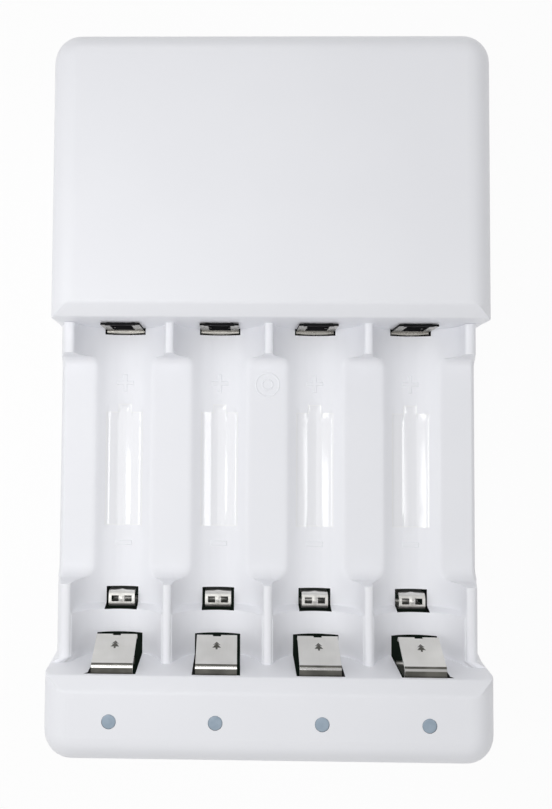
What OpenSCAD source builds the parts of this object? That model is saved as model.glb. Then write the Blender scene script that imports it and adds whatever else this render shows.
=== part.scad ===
// Four-bay wall charger for AA and AAA cells, lying on its back with the bays facing up.
// X runs across the bays, Y runs from the indicator base to the power housing, Z runs to the front.
// The origin is at the middle of the back face.

/* [Case] */
// Width of the case at the parting line; the bays share it out
case_w = 69.5; // [68:0.5:76]
// Height from the back face to the front face
case_h = 27; // [25:0.5:32]
// Length of the power housing, from its bay wall to the top end
housing_len = 45.5; // [41:0.1:60]
// Length of the indicator base, from the bottom end to the foot of its bay wall
base_len = 14.5; // [13:0.1:20]
// Thickness of the moulded walls
wall = 2; // [1.6:0.1:2.4]
// Height of the back case, up to the parting line
split_h = 8; // [7:0.2:9]
// Plan radius of the corners
corner_r = 4.8; // [4.6:0.1:6]
// Radius around the front edges
edge_r = 4; // [2.5:0.1:4.2]
// Lean of the front's side and end walls, from the parting line to the round edge
side_draft = 0.4; // [0.2:0.05:0.5]
// Radius around the edge of the back face
back_edge_r = 2; // [1:0.1:2.4]
// Run of the bevels that face the bays, along the case
bevel_run = 2.1; // [1.5:0.1:3]
// Drop of the bevels that face the bays, below the front face
bevel_drop = 1.7; // [1:0.1:2.5]
// Lean of the base's bay wall
base_draft = 1.1; // [0.4:0.1:1.6]

/* [Bays] */
// Width of the ribs between the troughs
rib_w = 1.5; // [1.2:0.05:1.7]
// Radius of the ribs' round crest
crest_r = 1.3; // [1.2:0.1:1.6]
// Distance from the side of the case to the line where the outer bays' pitch ends
side_rib_w = 2.75; // [2.5:0.05:3.2]
// Inset of the outer ribs' crest from the side of the case
rib_set = 1.6; // [1.2:0.1:1.8]
// Length of a bay, from the housing wall to the foot of the base wall
bay_len = 53.6; // [52:0.1:56]
// Length of the deep floor, from the housing wall to the step for the short cells
short_len = 46; // [45:0.1:46.6]
// Depth of the bay floor below the front face
bay_depth = 16; // [14:0.2:16.4]
// Height of the shelf under the end of a long cell, above the bay floor
shelf_rise = 2.3; // [1.8:0.1:2.8]
// Height of the flat islands between the troughs, above the bay floor
island_rise = 1.65; // [1:0.05:2.2]
// Height of the ribs at both ends of the bays, above the bay floor
rib_rise = 8.7; // [7:0.1:10]
// Length of the ribs at the housing end
top_rib_len = 5; // [3:0.1:8]
// Radius of the fillet at the foot of those ribs
rib_fillet_r = 1.5; // [0.8:0.1:2]
// Length of the crest of the ribs at the base end
base_rib_len = 11.8; // [9.5:0.1:14]
// Lean of the ribs' face at the base end, along the case
rib_lean = 0.9; // [0.5:0.1:3]
// Thickness of the floor under the troughs
floor_t = 1.8; // [1.4:0.1:2.2]

/* [Contacts] */
// Thickness of the contact strip
strip_t = 0.35; // [0.25:0.05:0.45]
// Width of the leaf that touches the long cells
long_leaf_w = 6.4; // [5.4:0.1:7]
// Width of the leaf that touches the short cells
short_leaf_w = 4.3; // [3.4:0.1:4.8]
// Width of the plate that touches the cells' positive end
plus_plate_w = 6.3; // [5.4:0.1:7]
// Height of that plate
plus_plate_h = 8.7; // [8:0.1:10]
// Gap at each side of a contact in its slot
slot_gap = 0.5; // [0.3:0.05:0.6]

/* [Indicators] */
// Diameter of the light pipes
lens_d = 2.2; // [1.6:0.1:3]
// Distance of the light pipes from the bottom end
lens_inset = 6.9; // [6.4:0.1:7.5]

/* [Mains plug] */
// Distance between the middles of the blades
blade_pitch = 12.7; // [12:0.1:13.4]
// Width of a blade
blade_w = 6.35; // [5.6:0.05:6.8]
// Thickness of a blade
blade_t = 1.5; // [1.2:0.05:1.8]
// Reach of the open blades beyond the back face
blade_out = 17; // [15.5:0.1:17.6]
// Radius of the pivot barrel
barrel_r = 4; // [3.8:0.05:4.2]
// Radius of the pivot pin
pin_r = 1; // [0.8:0.05:1.2]
// Distance of the pivot from the housing end
plug_inset = 10.8; // [10.4:0.1:11.4]
// Running gap around the folded plug
plug_gap = 0.4; // [0.3:0.05:0.5]

/* [Boards and screws] */
// Thickness of the circuit boards
board_t = 1.6; // [1.2:0.1:1.8]
// Height of the low posts under the control board, above the back wall
low_post_h = 1.5; // [1.2:0.1:1.8]
// Gap between a board's edge and the case
board_gap = 0.8; // [0.5:0.1:1.2]
// Shank radius of the case screws
screw_r = 1.1; // [0.9:0.05:1.2]
// Distance of the case screws from the sides and ends
screw_inset = 4.9; // [4.7:0.05:5.2]

/* [Hidden] */
$fn = 64;
// Overlap that keeps cuts and joins clean
eps = 0.05;

// Widths, shared out from the case's width
bays = 4;
bay_pitch = (case_w - 2 * side_rib_w) / bays;
trough_r = (bay_pitch - rib_w) / 2;
side_rib_r = 1;
crest_flat = 0.05;

// Places along the case
case_l = housing_len + bay_len + base_len;
half_l = case_l / 2;
base_foot_y = base_len - half_l;
base_top_y = base_foot_y - base_draft;
housing_y = base_foot_y + bay_len;
step_y = housing_y - short_len;
lens_y = lens_inset - half_l;
plug_y = half_l - plug_inset;

// Heights
floor_z = case_h - bay_depth;
shelf_z = floor_z + shelf_rise;
island_z = floor_z + island_rise;
rib_z = floor_z + rib_rise;
under_floor_z = floor_z - floor_t;
roof_z = case_h - wall;
control_z = wall + low_post_h;
control_top_z = control_z + board_t;

// Slots for the leaf contacts
step_lean = 0.9;
base_wall_in_y = base_top_y - wall;
long_slot_run = 3.2;
long_slot_y = base_foot_y + long_slot_run;
long_slot_roof = 2.3;
long_slot_top_z = case_h - long_slot_roof;
short_slot_run = 2.7;
short_slot_under = 2.2;
short_slot_roof = 0.4;
short_slot_y = step_y + short_slot_run;
short_slot_in_y = step_y - short_slot_under;
short_slot_top_z = shelf_z - short_slot_roof;
plus_slot_depth = 1.1;
plus_window_w = 3.6;
plus_window_sill = 2;
plus_bar = 0.8;
plus_gap = 0.1;
plus_tail_w = 2.4;
tongue_set = 0.9;
tongue_h = 1;

// Long leaf: tail from the board, run into the slot, leaf that leans out of it
foot_r = 0.6;
foot_gap = 0.05;
foot_z = control_top_z + foot_r + foot_gap;
tail_gap = 0.2;
long_tail_y = base_wall_in_y - tail_gap;
long_bend_r = 0.75;
long_top_gap = 0.6;
long_top_z = long_slot_top_z - long_top_gap;
long_nose_out = 1.2;
long_nose_y = base_top_y + long_nose_out;
long_tip_out = 3.6;
long_tip_y = base_foot_y + long_tip_out;
long_tip_rise = 7.1;
long_tip_z = floor_z + long_tip_rise;
long_shoulder = 4;
long_lip = 0.8;
dimple_r = 0.6;
notch_w = 1.3;
notch_depth = 1.5;

// Short leaf: tail from the board, crown through the floor, front leg that meets the cell
short_tail_in = 0.3;
short_tail_y = step_y - short_tail_in;
short_face_out = 2;
short_face_y = step_y + short_face_out;
short_bend_r = 0.6;
short_top_drop = 0.75;
short_top_z = shelf_z - short_top_drop;
short_leg_h = 3.4;
short_bump_drop = 1.1;
short_window = [1.2, 0.9];
short_bump_r = 0.55;

// Case screws, with bosses in both halves
boss_merge = 0.25;
boss_r = screw_inset - wall + boss_merge;
back_boss_r = 3.6;
boss_gap = 0.3;
head_r = 1.95;
head_h = 1.4;
head_gap = 0.3;
head_seat_t = 3;
head_seat_z = split_h - head_seat_t;
cross_l = 2.2;
cross_w = 0.5;
cross_depth = 0.7;
screw_grip = 9;
hole_gap = 0.2;
base_screw_inset = screw_inset - 0.5;
screw_places = [
    for (s = [-1, 1]) [s * (case_w / 2 - screw_inset), half_l - screw_inset],
    for (s = [-1, 1]) [s * (case_w / 2 - screw_inset), base_screw_inset - half_l]
];
lip_h = 0.9;
lip_t = 0.8;
lip_gap = 0.15;

// Folding plug and its well
barrel_drop = 0.6;
pivot_z = barrel_r + barrel_drop;
barrel_side = 2.5;
barrel_l = blade_pitch + blade_t + 2 * barrel_side;
blade_reach = pivot_z + blade_out;
root_gap = 0.8;
blade_root = pin_r + root_gap;
blade_hole_r = 1.6;
blade_hole_inset = 5;
blade_tip_r = 1.4;
well_wall = 1.4;
cheek_t = 3;
well_x = barrel_l / 2 + plug_gap + cheek_t;
tip_gap = 1;
well_low_y = plug_y - blade_reach - tip_gap;
well_top_z = pivot_z + barrel_r + plug_gap + well_wall;
scoop_r = 9;
scoop_depth = 3.6;
scoop_inset = 6;
scoop_side = 3.4;
scoop_x = blade_pitch / 2 + scoop_side;
terminal_t = 0.5;
terminal_w = 4;
terminal_gap = 0.2;
barrel_gap = 0.25;
pin_gap = 0.03;

// Boards, their posts and their screws
well_gap = 1;
power_z = well_top_z + well_gap;
power_top_z = power_z + board_t;
power_board_x = case_w / 2 - wall - board_gap;
power_board_gap = 0.5;
control_board_x = case_w / 2 - wall - board_gap;
post_r = 2;
post_x = power_board_x - 4.7;
post_inset_in = 11;
post_inset_out = 14;
low_post_x = control_board_x - 2.2;
low_post_top = 5;
low_post_base = 14;
high_posts = [
    for (s = [-1, 1], y = [housing_y + post_inset_in, half_l - post_inset_out]) [s * post_x, y]
];
low_posts = [
    for (s = [-1, 1], y = [housing_y - low_post_top, base_foot_y + low_post_base]) [s * low_post_x, y]
];
board_screw_r = 0.75;
board_head_r = 1.5;
board_head_h = 1.1;
board_grip = 2.2;
grip_gap = 0.4;
header_w = 2.5;
header_gap = 0.65;
header_y = housing_y + wall + header_gap + header_w / 2;
header_pins = 6;
header_pitch = 2.54;
header_pin_r = 0.32;
header_edge = 0.4;
lamp_r = 1.5;
lamp_h = 2.4;
lamp_flange = 0.3;
lamp_flange_h = 0.6;
lamp_gap = 0.3;
collar_w = 0.7;
collar_h = 1;

// Parts on the power board
core_size = [17, 8, 9];
core_leg = 3;
core_yoke = 1.6;
window_w = 3.4;
coil_gap = 0.1;
coil_l = 13;
coil_inset = 13;
coil_y = housing_y + coil_inset;
can_r = 4;
can_x = -0.6 * power_board_x;
can_l = 14;
can_groove_inset = 1.6;
can_groove_r = 0.4;
small_can_r = 3.15;
small_can_h = 8.5;
small_can_x = 0.54 * power_board_x;
fuse_r = 1.8;
fuse_l = 8;
fuse_cap_l = 1.8;
fuse_cap_t = 0.2;
fuse_x = -0.38 * power_board_x;
mains_row_inset = 4;
mains_row_y = plug_y - mains_row_inset;
bridge_size = [6.5, 5, 2.4];
chip_size = [5, 6, 1.5];
chip_leg = [0.9, 0.5, 0.4];
chip_stand = 0.1;
chip_inset = 22;

white = [0.94, 0.94, 0.95];
nickel = [0.78, 0.77, 0.75];
board_green = [0.10, 0.34, 0.20];

function bay_x(i) = (i - (bays + 1) / 2) * bay_pitch;

// Region between a square corner and its arc; sx and sy point into the shape
module spandrel(corner, r, sx, sy) {
    translate(corner) scale_sign(sx, sy) difference() {
        translate([-eps, -eps]) square(r + eps);
        translate([r, r]) circle(r);
    }
}

// Flips a flat shape into the wanted quarter
module scale_sign(sx, sy) {
    mirror([sx < 0 ? 1 : 0, 0]) mirror([0, sy < 0 ? 1 : 0]) children();
}

// Carries a flat shape drawn in Y and Z along X, centred
module along_x(l) {
    translate([-l / 2, 0, 0]) rotate([90, 0, 90]) linear_extrude(l) children();
}

// Carries a flat shape drawn in X and Z along Y
module along_y(y0, y1) {
    translate([0, y1, 0]) rotate([90, 0, 0]) linear_extrude(y1 - y0) children();
}

// Cylinder along X, centred
module bar_x(r, l) {
    rotate([0, 90, 0]) cylinder(r = r, h = l, center = true);
}

// Box given by its lowest and highest corners
module block(a, b) {
    translate(a) cube(b - a);
}

// Plan of the whole case
module case_plan(inset) {
    x = case_w / 2 - inset;
    y = half_l - inset;
    r = max(corner_r - inset, 0.5);
    difference() {
        translate([-x, -y]) square([2 * x, 2 * y]);
        for (sx = [-1, 1], sy = [-1, 1]) spandrel([sx * x, sy * y], r, -sx, -sy);
    }
}

// The plan between two places along the case
module plan_between(inset, y0, y1) {
    intersection() {
        case_plan(inset);
        translate([-case_w, y0]) square([2 * case_w, y1 - y0]);
    }
}

// Slab with one plain end at Y = start, walls that lean in and a round rim on its upper face
module pillow(l, h, rim_r, draft, start) {
    x = case_w / 2;
    side_z = h - rim_r;
    along_y(start, l - corner_r) difference() {
        polygon([
            [-x, 0], [x, 0], [x - draft, side_z], [x - draft, h], [draft - x, h], [draft - x, side_z]
        ]);
        for (s = [-1, 1]) spandrel([s * (x - draft), h], rim_r, -s, -1);
    }
    along_x(case_w - 2 * corner_r) difference() {
        polygon([[start, 0], [l, 0], [l - draft, side_z], [l - draft, h], [start, h]]);
        spandrel([l - draft, h], rim_r, -1, -1);
    }
    for (s = [-1, 1]) translate([s * (x - corner_r), l - corner_r, 0]) rotate_extrude() difference() {
        polygon([[0, 0], [corner_r, 0], [corner_r - draft, side_z], [corner_r - draft, h], [0, h]]);
        spandrel([corner_r - draft, h], rim_r, -1, -1);
    }
}

// Side view of one end, from the foot of its bay wall to past the end, with the front bevel
module bevel_side(l, lean, foot_h) {
    h = case_h - split_h;
    over = 1;
    polygon(concat(lean > 0 ? [[-lean, -over], [-lean, foot_h]] : [[0, -over]], [
        [0, h - bevel_drop], [bevel_run * (bevel_drop + over) / bevel_drop, h + over],
        [l + over, h + over], [l + over, -over]
    ]));
}

// Front half of one end of the case; Y runs from the bays to the end
module front_end(l, lean) {
    intersection() {
        pillow(l, case_h - split_h, edge_r, side_draft, -lean - 1);
        along_x(case_w + 2) bevel_side(l, lean, shelf_z - split_h);
    }
}

// Outside of the power housing
module housing_block() {
    translate([0, housing_y, split_h]) front_end(housing_len, 0);
}

// Outside of the indicator base, whose bay wall leans
module base_block() {
    translate([0, base_top_y, split_h]) mirror([0, 1, 0]) front_end(base_len - base_draft, base_draft);
}

// Body across the bays with the end ribs still as full-width bars
module deck_block() {
    x = case_w / 2;
    island_x = x - side_draft * (island_z - split_h) / (case_h - edge_r - split_h);
    rib_x = x - rib_set;
    turn_z = rib_z - side_rib_r;
    intersection() {
        along_x(case_w + 1) {
            polygon([
                [base_top_y - eps, split_h], [housing_y + eps, split_h], [housing_y + eps, rib_z],
                [housing_y - top_rib_len, rib_z], [housing_y - top_rib_len, island_z],
                [base_foot_y + base_rib_len + rib_lean, island_z], [base_foot_y + base_rib_len, rib_z],
                [base_top_y - eps, rib_z]
            ]);
            spandrel([housing_y - top_rib_len, island_z], rib_fillet_r, -1, 1);
        }
        along_y(base_top_y - 1, housing_y + 1) difference() {
            polygon([
                [-x, split_h], [x, split_h], [island_x, island_z], [rib_x, turn_z], [rib_x, rib_z],
                [-rib_x, rib_z], [-rib_x, turn_z], [-island_x, island_z]
            ]);
            for (s = [-1, 1]) spandrel([s * rib_x, rib_z], side_rib_r, -s, -1);
        }
    }
}

// Flat section of the mouths over the troughs, which leave the ribs' crests round
module mouth_section() {
    for (i = [1:bays], s = [-1, 1]) translate([bay_x(i), 0]) scale_sign(s, 1) {
        translate([trough_r + rib_w / 2, rib_z + crest_flat - crest_r]) difference() {
            translate([-rib_w, 0]) square([rib_w, crest_r + 1]);
            circle(crest_r);
        }
    }
}

// The space that the cells lie in: deep troughs, and raised shelves past the step
module bay_space() {
    high_z = case_h + 1;
    intersection() {
        for (i = [1:4]) translate([bay_x(i), housing_y, floor_z + trough_r]) {
            rotate([90, 0, 0]) cylinder(r = trough_r, h = short_len + step_lean);
        }
        along_x(case_w) polygon([
            [step_y, 0], [step_y, floor_z], [step_y - step_lean, shelf_z], [step_y - step_lean, high_z],
            [housing_y, high_z], [housing_y, 0]
        ]);
    }
    for (i = [1:4]) translate([bay_x(i), housing_y, shelf_z + trough_r]) {
        rotate([90, 0, 0]) cylinder(r = trough_r, h = housing_y - base_top_y + eps);
    }
}

// Hollow of the front case: housing, base and the low space under the bays
module front_hollow() {
    z0 = split_h - eps;
    difference() {
        union() {
            translate([0, 0, z0]) linear_extrude(roof_z - z0) {
                plan_between(wall, housing_y + wall, half_l);
                plan_between(wall, -half_l, base_top_y - wall);
            }
            translate([0, 0, z0]) linear_extrude(max(under_floor_z - z0, eps)) {
                plan_between(wall, base_top_y - wall - eps, housing_y + wall + eps);
            }
        }
        for (p = screw_places) translate([p[0], p[1], z0 - eps]) cylinder(r = boss_r, h = case_h);
    }
}

// Slots that the contacts come through
module contact_slots() {
    z0 = split_h - 1;
    long_x = long_leaf_w / 2 + slot_gap;
    short_x = short_leaf_w / 2 + slot_gap;
    plus_x = plus_plate_w / 2 + slot_gap / 2;
    window_x = plus_window_w / 2 + slot_gap;
    for (i = [1:4]) translate([bay_x(i), 0, 0]) {
        block([-long_x, base_wall_in_y - eps, z0], [long_x, long_slot_y, long_slot_top_z]);
        block([-short_x, short_slot_in_y, z0], [short_x, short_slot_y, short_slot_top_z]);
        block([-plus_x, housing_y - plus_slot_depth, z0], [plus_x, housing_y, floor_z + plus_window_sill]);
        block([-window_x, housing_y - eps, floor_z + plus_window_sill - slot_gap / 2],
              [window_x, housing_y + wall + eps, floor_z + plus_plate_h - plus_bar]);
    }
}

module front_case() {
    color(white) difference() {
        union() {
            difference() {
                deck_block();
                bay_space();
                along_y(base_top_y - 1, housing_y + 1) mouth_section();
            }
            housing_block();
            base_block();
        }
        front_hollow();
        contact_slots();
        for (i = [1:4]) translate([bay_x(i), lens_y, roof_z - 1]) {
            cylinder(r = lens_d / 2 + eps, h = wall + 2);
        }
        for (p = screw_places) translate([p[0], p[1], split_h - 1]) {
            cylinder(r = screw_r + pin_gap, h = screw_grip + 1);
        }
    }
}

// Outside of the back case
module back_block() {
    translate([0, 0, split_h]) mirror([0, 0, 1]) {
        for (s = [-1, 1]) mirror([0, s < 0 ? 1 : 0, 0]) pillow(half_l, split_h, back_edge_r, 0, -eps);
    }
}

// Block that carries the folding plug
module plug_well() {
    block([-well_x, well_low_y - well_wall, 0],
          [well_x, plug_y + barrel_r + plug_gap + well_wall, well_top_z]);
}

// Space for the barrel, the folded blades, a finger and the terminals
module plug_space() {
    r = barrel_r + plug_gap;
    slot_x = blade_t / 2 + plug_gap;
    chamber_l = barrel_l + 2 * plug_gap;
    translate([0, plug_y, pivot_z]) bar_x(r, chamber_l);
    block([-chamber_l / 2, plug_y - r, -1], [chamber_l / 2, plug_y + r, pivot_z]);
    for (s = [-1, 1]) translate([s * blade_pitch / 2, 0, 0]) {
        block([-slot_x, well_low_y, -1], [slot_x, plug_y, pivot_z + blade_w / 2 + plug_gap]);
        translate([0, plug_y, pivot_z]) {
            block([-terminal_t / 2 - terminal_gap, -terminal_w / 2 - terminal_gap, 0],
                  [terminal_t / 2 + terminal_gap, terminal_w / 2 + terminal_gap, well_top_z]);
        }
    }
    translate([0, well_low_y + scoop_inset, scoop_depth - scoop_r]) bar_x(scoop_r, 2 * scoop_x);
    translate([0, plug_y, pivot_z]) bar_x(pin_r + pin_gap, 2 * well_x + 2);
}

// Locating lip that stands inside the wall of the front case
module locating_lip() {
    translate([0, 0, split_h - eps]) difference() {
        linear_extrude(lip_h + eps) case_plan(wall + lip_gap);
        translate([0, 0, -1]) linear_extrude(lip_h + 2) case_plan(wall + lip_gap + lip_t);
        for (p = screw_places) translate([p[0], p[1], -1]) cylinder(r = boss_r + boss_gap, h = lip_h + 2);
    }
}

// Post that rises from the back wall to the underside of a board
module post(p, top_z) {
    translate([p[0], p[1], wall - eps]) cylinder(r = post_r, h = top_z - wall + eps);
}

module back_case() {
    color(white) difference() {
        union() {
            difference() {
                back_block();
                difference() {
                    translate([0, 0, wall]) linear_extrude(split_h) case_plan(wall);
                    for (p = screw_places) translate(p) cylinder(r = back_boss_r, h = split_h);
                }
            }
            plug_well();
            for (p = high_posts) post(p, power_z);
            for (p = low_posts) post(p, control_z);
            locating_lip();
        }
        plug_space();
        for (p = screw_places) translate([p[0], p[1], -1]) {
            cylinder(r = head_r + head_gap, h = head_seat_z + 1);
            cylinder(r = screw_r + hole_gap, h = split_h + 2);
        }
        for (p = high_posts) translate([p[0], p[1], power_z - board_grip - grip_gap]) {
            cylinder(r = board_screw_r + pin_gap, h = power_z);
        }
        for (p = low_posts) translate([p[0], p[1], control_z - board_grip - grip_gap]) {
            cylinder(r = board_screw_r + pin_gap, h = control_z);
        }
    }
}

// Straight stretch of strip in a flat section, from p to q
module strip_line(p, q) {
    d = q - p;
    translate(p) rotate(atan2(d[1], d[0])) translate([0, -strip_t / 2]) square([norm(d), strip_t]);
}

// Bend of strip in a flat section, about c from angle a0 to angle a1, less than half a turn
module strip_bend(c, r, a0, a1) {
    far = 4 * r + strip_t;
    mid = (a0 + a1) / 2;
    translate(c) intersection() {
        difference() {
            circle(r + strip_t / 2);
            circle(r - strip_t / 2);
        }
        polygon([
            [0, 0], far * [cos(a0), sin(a0)], 2 * far * [cos(mid), sin(mid)], far * [cos(a1), sin(a1)]
        ]);
    }
}

// Positive contact: plate with a window on the housing wall, foot in the floor, tail to the board
module positive_contact(i) {
    y0 = housing_y - plus_gap - strip_t;
    foot_y = housing_y - plus_slot_depth + plus_gap;
    foot_low_z = floor_z - plus_gap;
    plate_top_z = floor_z + plus_plate_h;
    window_z = floor_z + plus_window_sill;
    tongue_y = housing_y + tongue_set;
    tongue_root = [tongue_y, window_z + strip_t];
    color(nickel) translate([bay_x(i), 0, 0]) {
        difference() {
            block([-plus_plate_w / 2, y0, foot_low_z], [plus_plate_w / 2, y0 + strip_t, plate_top_z]);
            block([-plus_window_w / 2, y0 - 1, window_z],
                  [plus_window_w / 2, y0 + 1, plate_top_z - plus_bar]);
        }
        block([-plus_plate_w / 2, foot_y, foot_low_z], [plus_plate_w / 2, y0 + eps, foot_low_z + strip_t]);
        block([-plus_tail_w / 2, foot_y, control_top_z], [plus_tail_w / 2, foot_y + strip_t, floor_z]);
        along_x(plus_window_w - 2 * strip_t) {
            strip_line([y0, window_z], tongue_root);
            strip_line(tongue_root - [strip_t / 3, strip_t / 3], tongue_root + [strip_t / 3, tongue_h]);
        }
    }
}

// Long leaf contact: rolled foot on the board, tail, run through the slot, leaf with lip and dimple
module aa_contact(i) {
    nose = [long_nose_y - long_bend_r, long_top_z - long_bend_r];
    tip = [long_tip_y, long_tip_z];
    reach = tip - nose;
    lean = atan2(reach[1], reach[0]) + asin(long_bend_r / norm(reach));
    leave = nose + long_bend_r * [cos(lean + 90), sin(lean + 90)];
    leaf_len = norm(tip - leave);
    heel = [long_tail_y + long_bend_r, long_top_z - long_bend_r];
    shoulder_z = heel[1] - long_shoulder;
    dimple_at = tip - 0.3 * leaf_len * [cos(lean), sin(lean)];
    color(nickel) translate([bay_x(i), 0, 0]) {
        difference() {
            union() {
                along_x(long_leaf_w) {
                    strip_line(leave, tip);
                    strip_bend(nose, long_bend_r, lean + 90, 90);
                    strip_line([heel[0], long_top_z], [nose[0], long_top_z]);
                    strip_bend(heel, long_bend_r, 90, 180);
                    strip_line([long_tail_y, heel[1]], [long_tail_y, shoulder_z]);
                    strip_line(tip, tip + long_lip * [cos(lean - 75), sin(lean - 75)]);
                    translate(tip) circle(strip_t / 2);
                }
                along_x(long_leaf_w / 2) strip_line([long_tail_y, shoulder_z + eps], [long_tail_y, foot_z]);
                translate([0, long_tail_y, foot_z]) bar_x(foot_r, long_leaf_w / 2);
                translate([0, dimple_at[0], dimple_at[1]]) sphere(dimple_r);
            }
            block([-notch_w / 2, tip[0] - strip_t * 1.5, tip[1] - notch_depth],
                  [notch_w / 2, tip[0] + strip_t * 1.5, tip[1] + strip_t * 1.5]);
        }
    }
}

// Short leaf contact: rolled foot, tail, crown with two windows and a ridge, leg that meets the cell
module aaa_contact(i) {
    top_z = short_top_z;
    heel = [short_tail_y + short_bend_r, top_z - short_bend_r];
    nose = [short_face_y - short_bend_r, top_z - short_bend_r];
    window_y = (heel[0] + nose[0]) / 2;
    color(nickel) translate([bay_x(i), 0, 0]) {
        difference() {
            along_x(short_leaf_w) {
                strip_line([short_tail_y, foot_z], [short_tail_y, heel[1]]);
                strip_bend(heel, short_bend_r, 90, 180);
                strip_line([heel[0], top_z], [nose[0], top_z]);
                strip_bend(nose, short_bend_r, 0, 90);
                strip_line([short_face_y, nose[1]], [short_face_y, nose[1] - short_leg_h]);
            }
            for (s = [-1, 1]) translate([s * short_leaf_w / 4, window_y, top_z]) {
                cube([short_window[0], short_window[1], 1], center = true);
            }
        }
        translate([0, short_tail_y, foot_z]) bar_x(foot_r, short_leaf_w);
        translate([0, short_face_y, top_z - short_bump_drop]) sphere(short_bump_r);
    }
}

// Light pipe: rod with a collar that seats under the front wall
module light_pipe(i) {
    z0 = control_top_z + lamp_h + lamp_r + lamp_gap;
    color([0.60, 0.67, 0.72]) translate([bay_x(i), lens_y, 0]) {
        translate([0, 0, z0]) cylinder(r = lens_d / 2, h = case_h - z0);
        translate([0, 0, roof_z - collar_h]) cylinder(r = lens_d / 2 + collar_w, h = collar_h);
    }
}

// Indicator lamp: round body with a domed top and a flange
module indicator_lamp(i) {
    color([0.9, 0.95, 0.85]) translate([bay_x(i), lens_y, control_top_z]) {
        cylinder(r = lamp_r, h = lamp_h);
        translate([0, 0, lamp_h]) sphere(lamp_r);
        cylinder(r = lamp_r + lamp_flange, h = lamp_flange_h);
    }
}

// Control board under the bays, cut clear of the screw bosses
module control_board() {
    x = control_board_x;
    y0 = wall + board_gap - half_l;
    y1 = header_y + header_w / 2 + header_edge;
    color(board_green) difference() {
        block([-x, y0, control_z], [x, y1, control_top_z]);
        for (p = screw_places) translate([p[0], p[1], 0]) cylinder(r = back_boss_r + boss_gap, h = case_h);
        for (p = low_posts) translate([p[0], p[1], 0]) cylinder(r = board_screw_r + hole_gap, h = case_h);
    }
}

// Flat chip with two rows of legs that stand on a board
module legged_chip(size, legs) {
    leg = chip_leg;
    translate([-size[0] / 2, -size[1] / 2, chip_stand]) cube([size[0], size[1], size[2] - chip_stand]);
    for (s = [-1, 1], k = [0:legs - 1]) {
        x = s * (size[0] / 2 + leg[0] / 2 - 2 * eps);
        y = (k + 0.5) * size[1] / legs - size[1] / 2;
        translate([x, y, leg[2] / 2]) cube(leg, center = true);
    }
}

module control_chip() {
    color([0.12, 0.12, 0.13]) translate([0, base_foot_y + chip_inset, control_top_z]) {
        legged_chip(chip_size, 4);
    }
}

// Pin header that joins the two boards
module link_header() {
    l = header_pins * header_pitch;
    color([0.15, 0.15, 0.16]) {
        translate([-l / 2, header_y - header_w / 2, control_top_z]) cube([l, header_w, header_w]);
        for (k = [0:header_pins - 1]) {
            x = (k + 0.5) * header_pitch - l / 2;
            translate([x, header_y, control_top_z + eps]) {
                cylinder(r = header_pin_r, h = power_z - control_top_z - eps);
            }
        }
    }
}

// Power board in the housing, above the plug well
module power_board() {
    x = power_board_x;
    y0 = housing_y + wall + power_board_gap;
    color(board_green) difference() {
        block([-x, y0, power_z], [x, half_l - wall - board_gap, power_top_z]);
        for (p = screw_places) translate([p[0], p[1], 0]) cylinder(r = back_boss_r + boss_gap, h = case_h);
        for (p = high_posts) translate([p[0], p[1], 0]) cylinder(r = board_screw_r + hole_gap, h = case_h);
    }
}

// Ferrite core: frame with a middle leg
module transformer_core() {
    window_h = core_size[2] - 2 * core_yoke;
    color([0.22, 0.22, 0.24]) translate([0, coil_y, power_top_z]) difference() {
        translate([-core_size[0] / 2, -core_size[1] / 2, 0]) cube(core_size);
        for (s = [-1, 1]) translate([s * (core_leg / 2 + window_w / 2), 0, core_size[2] / 2]) {
            cube([window_w, core_size[1] + 1, window_h], center = true);
        }
    }
}

// Winding around the core's middle leg
module transformer_winding() {
    window_h = core_size[2] - 2 * core_yoke;
    hole = [core_leg + coil_gap, core_size[1] + coil_gap, window_h + 1];
    color([0.85, 0.68, 0.15]) translate([0, coil_y, power_top_z + core_size[2] / 2]) difference() {
        cube([core_leg + 2 * window_w - 2 * coil_gap, coil_l, window_h - 2 * coil_gap], center = true);
        cube(hole, center = true);
    }
}

// Mains capacitor, a can lying on the board
module mains_capacitor() {
    color([0.10, 0.12, 0.22]) translate([can_x, coil_y - can_l / 2, power_top_z + can_r]) {
        rotate([-90, 0, 0]) difference() {
            cylinder(r = can_r, h = can_l);
            translate([0, 0, can_groove_inset]) rotate_extrude() translate([can_r, 0]) circle(can_groove_r);
        }
    }
}

// Output capacitor, a can standing on the board
module output_capacitor() {
    color([0.12, 0.12, 0.14]) translate([small_can_x, coil_y, power_top_z]) difference() {
        cylinder(r = small_can_r, h = small_can_h);
        translate([0, 0, can_groove_inset]) rotate_extrude() {
            translate([small_can_r, 0]) circle(can_groove_r);
        }
    }
}

module bridge_rectifier() {
    color([0.12, 0.12, 0.13]) translate([0, mains_row_y, power_top_z]) legged_chip(bridge_size, 2);
}

// Fuse with a metal cap at each end
module mains_fuse() {
    cap_x = (fuse_l - fuse_cap_l) / 2;
    cap_r = fuse_r + fuse_cap_t;
    color([0.85, 0.85, 0.80]) translate([fuse_x, mains_row_y, power_top_z + cap_r]) {
        bar_x(fuse_r, fuse_l);
        for (s = [-1, 1]) translate([s * cap_x, 0, 0]) bar_x(cap_r, fuse_cap_l);
    }
}

// Spring terminal between the power board and the plug's barrel
module mains_terminal(side) {
    color(nickel) translate([side * blade_pitch / 2, plug_y, 0]) {
        block([-terminal_t / 2, -terminal_w / 2, pivot_z + barrel_r + barrel_gap],
              [terminal_t / 2, terminal_w / 2, power_z]);
    }
}

module mains_terminal_left() {
    mains_terminal(-1);
}

module mains_terminal_right() {
    mains_terminal(1);
}

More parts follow.
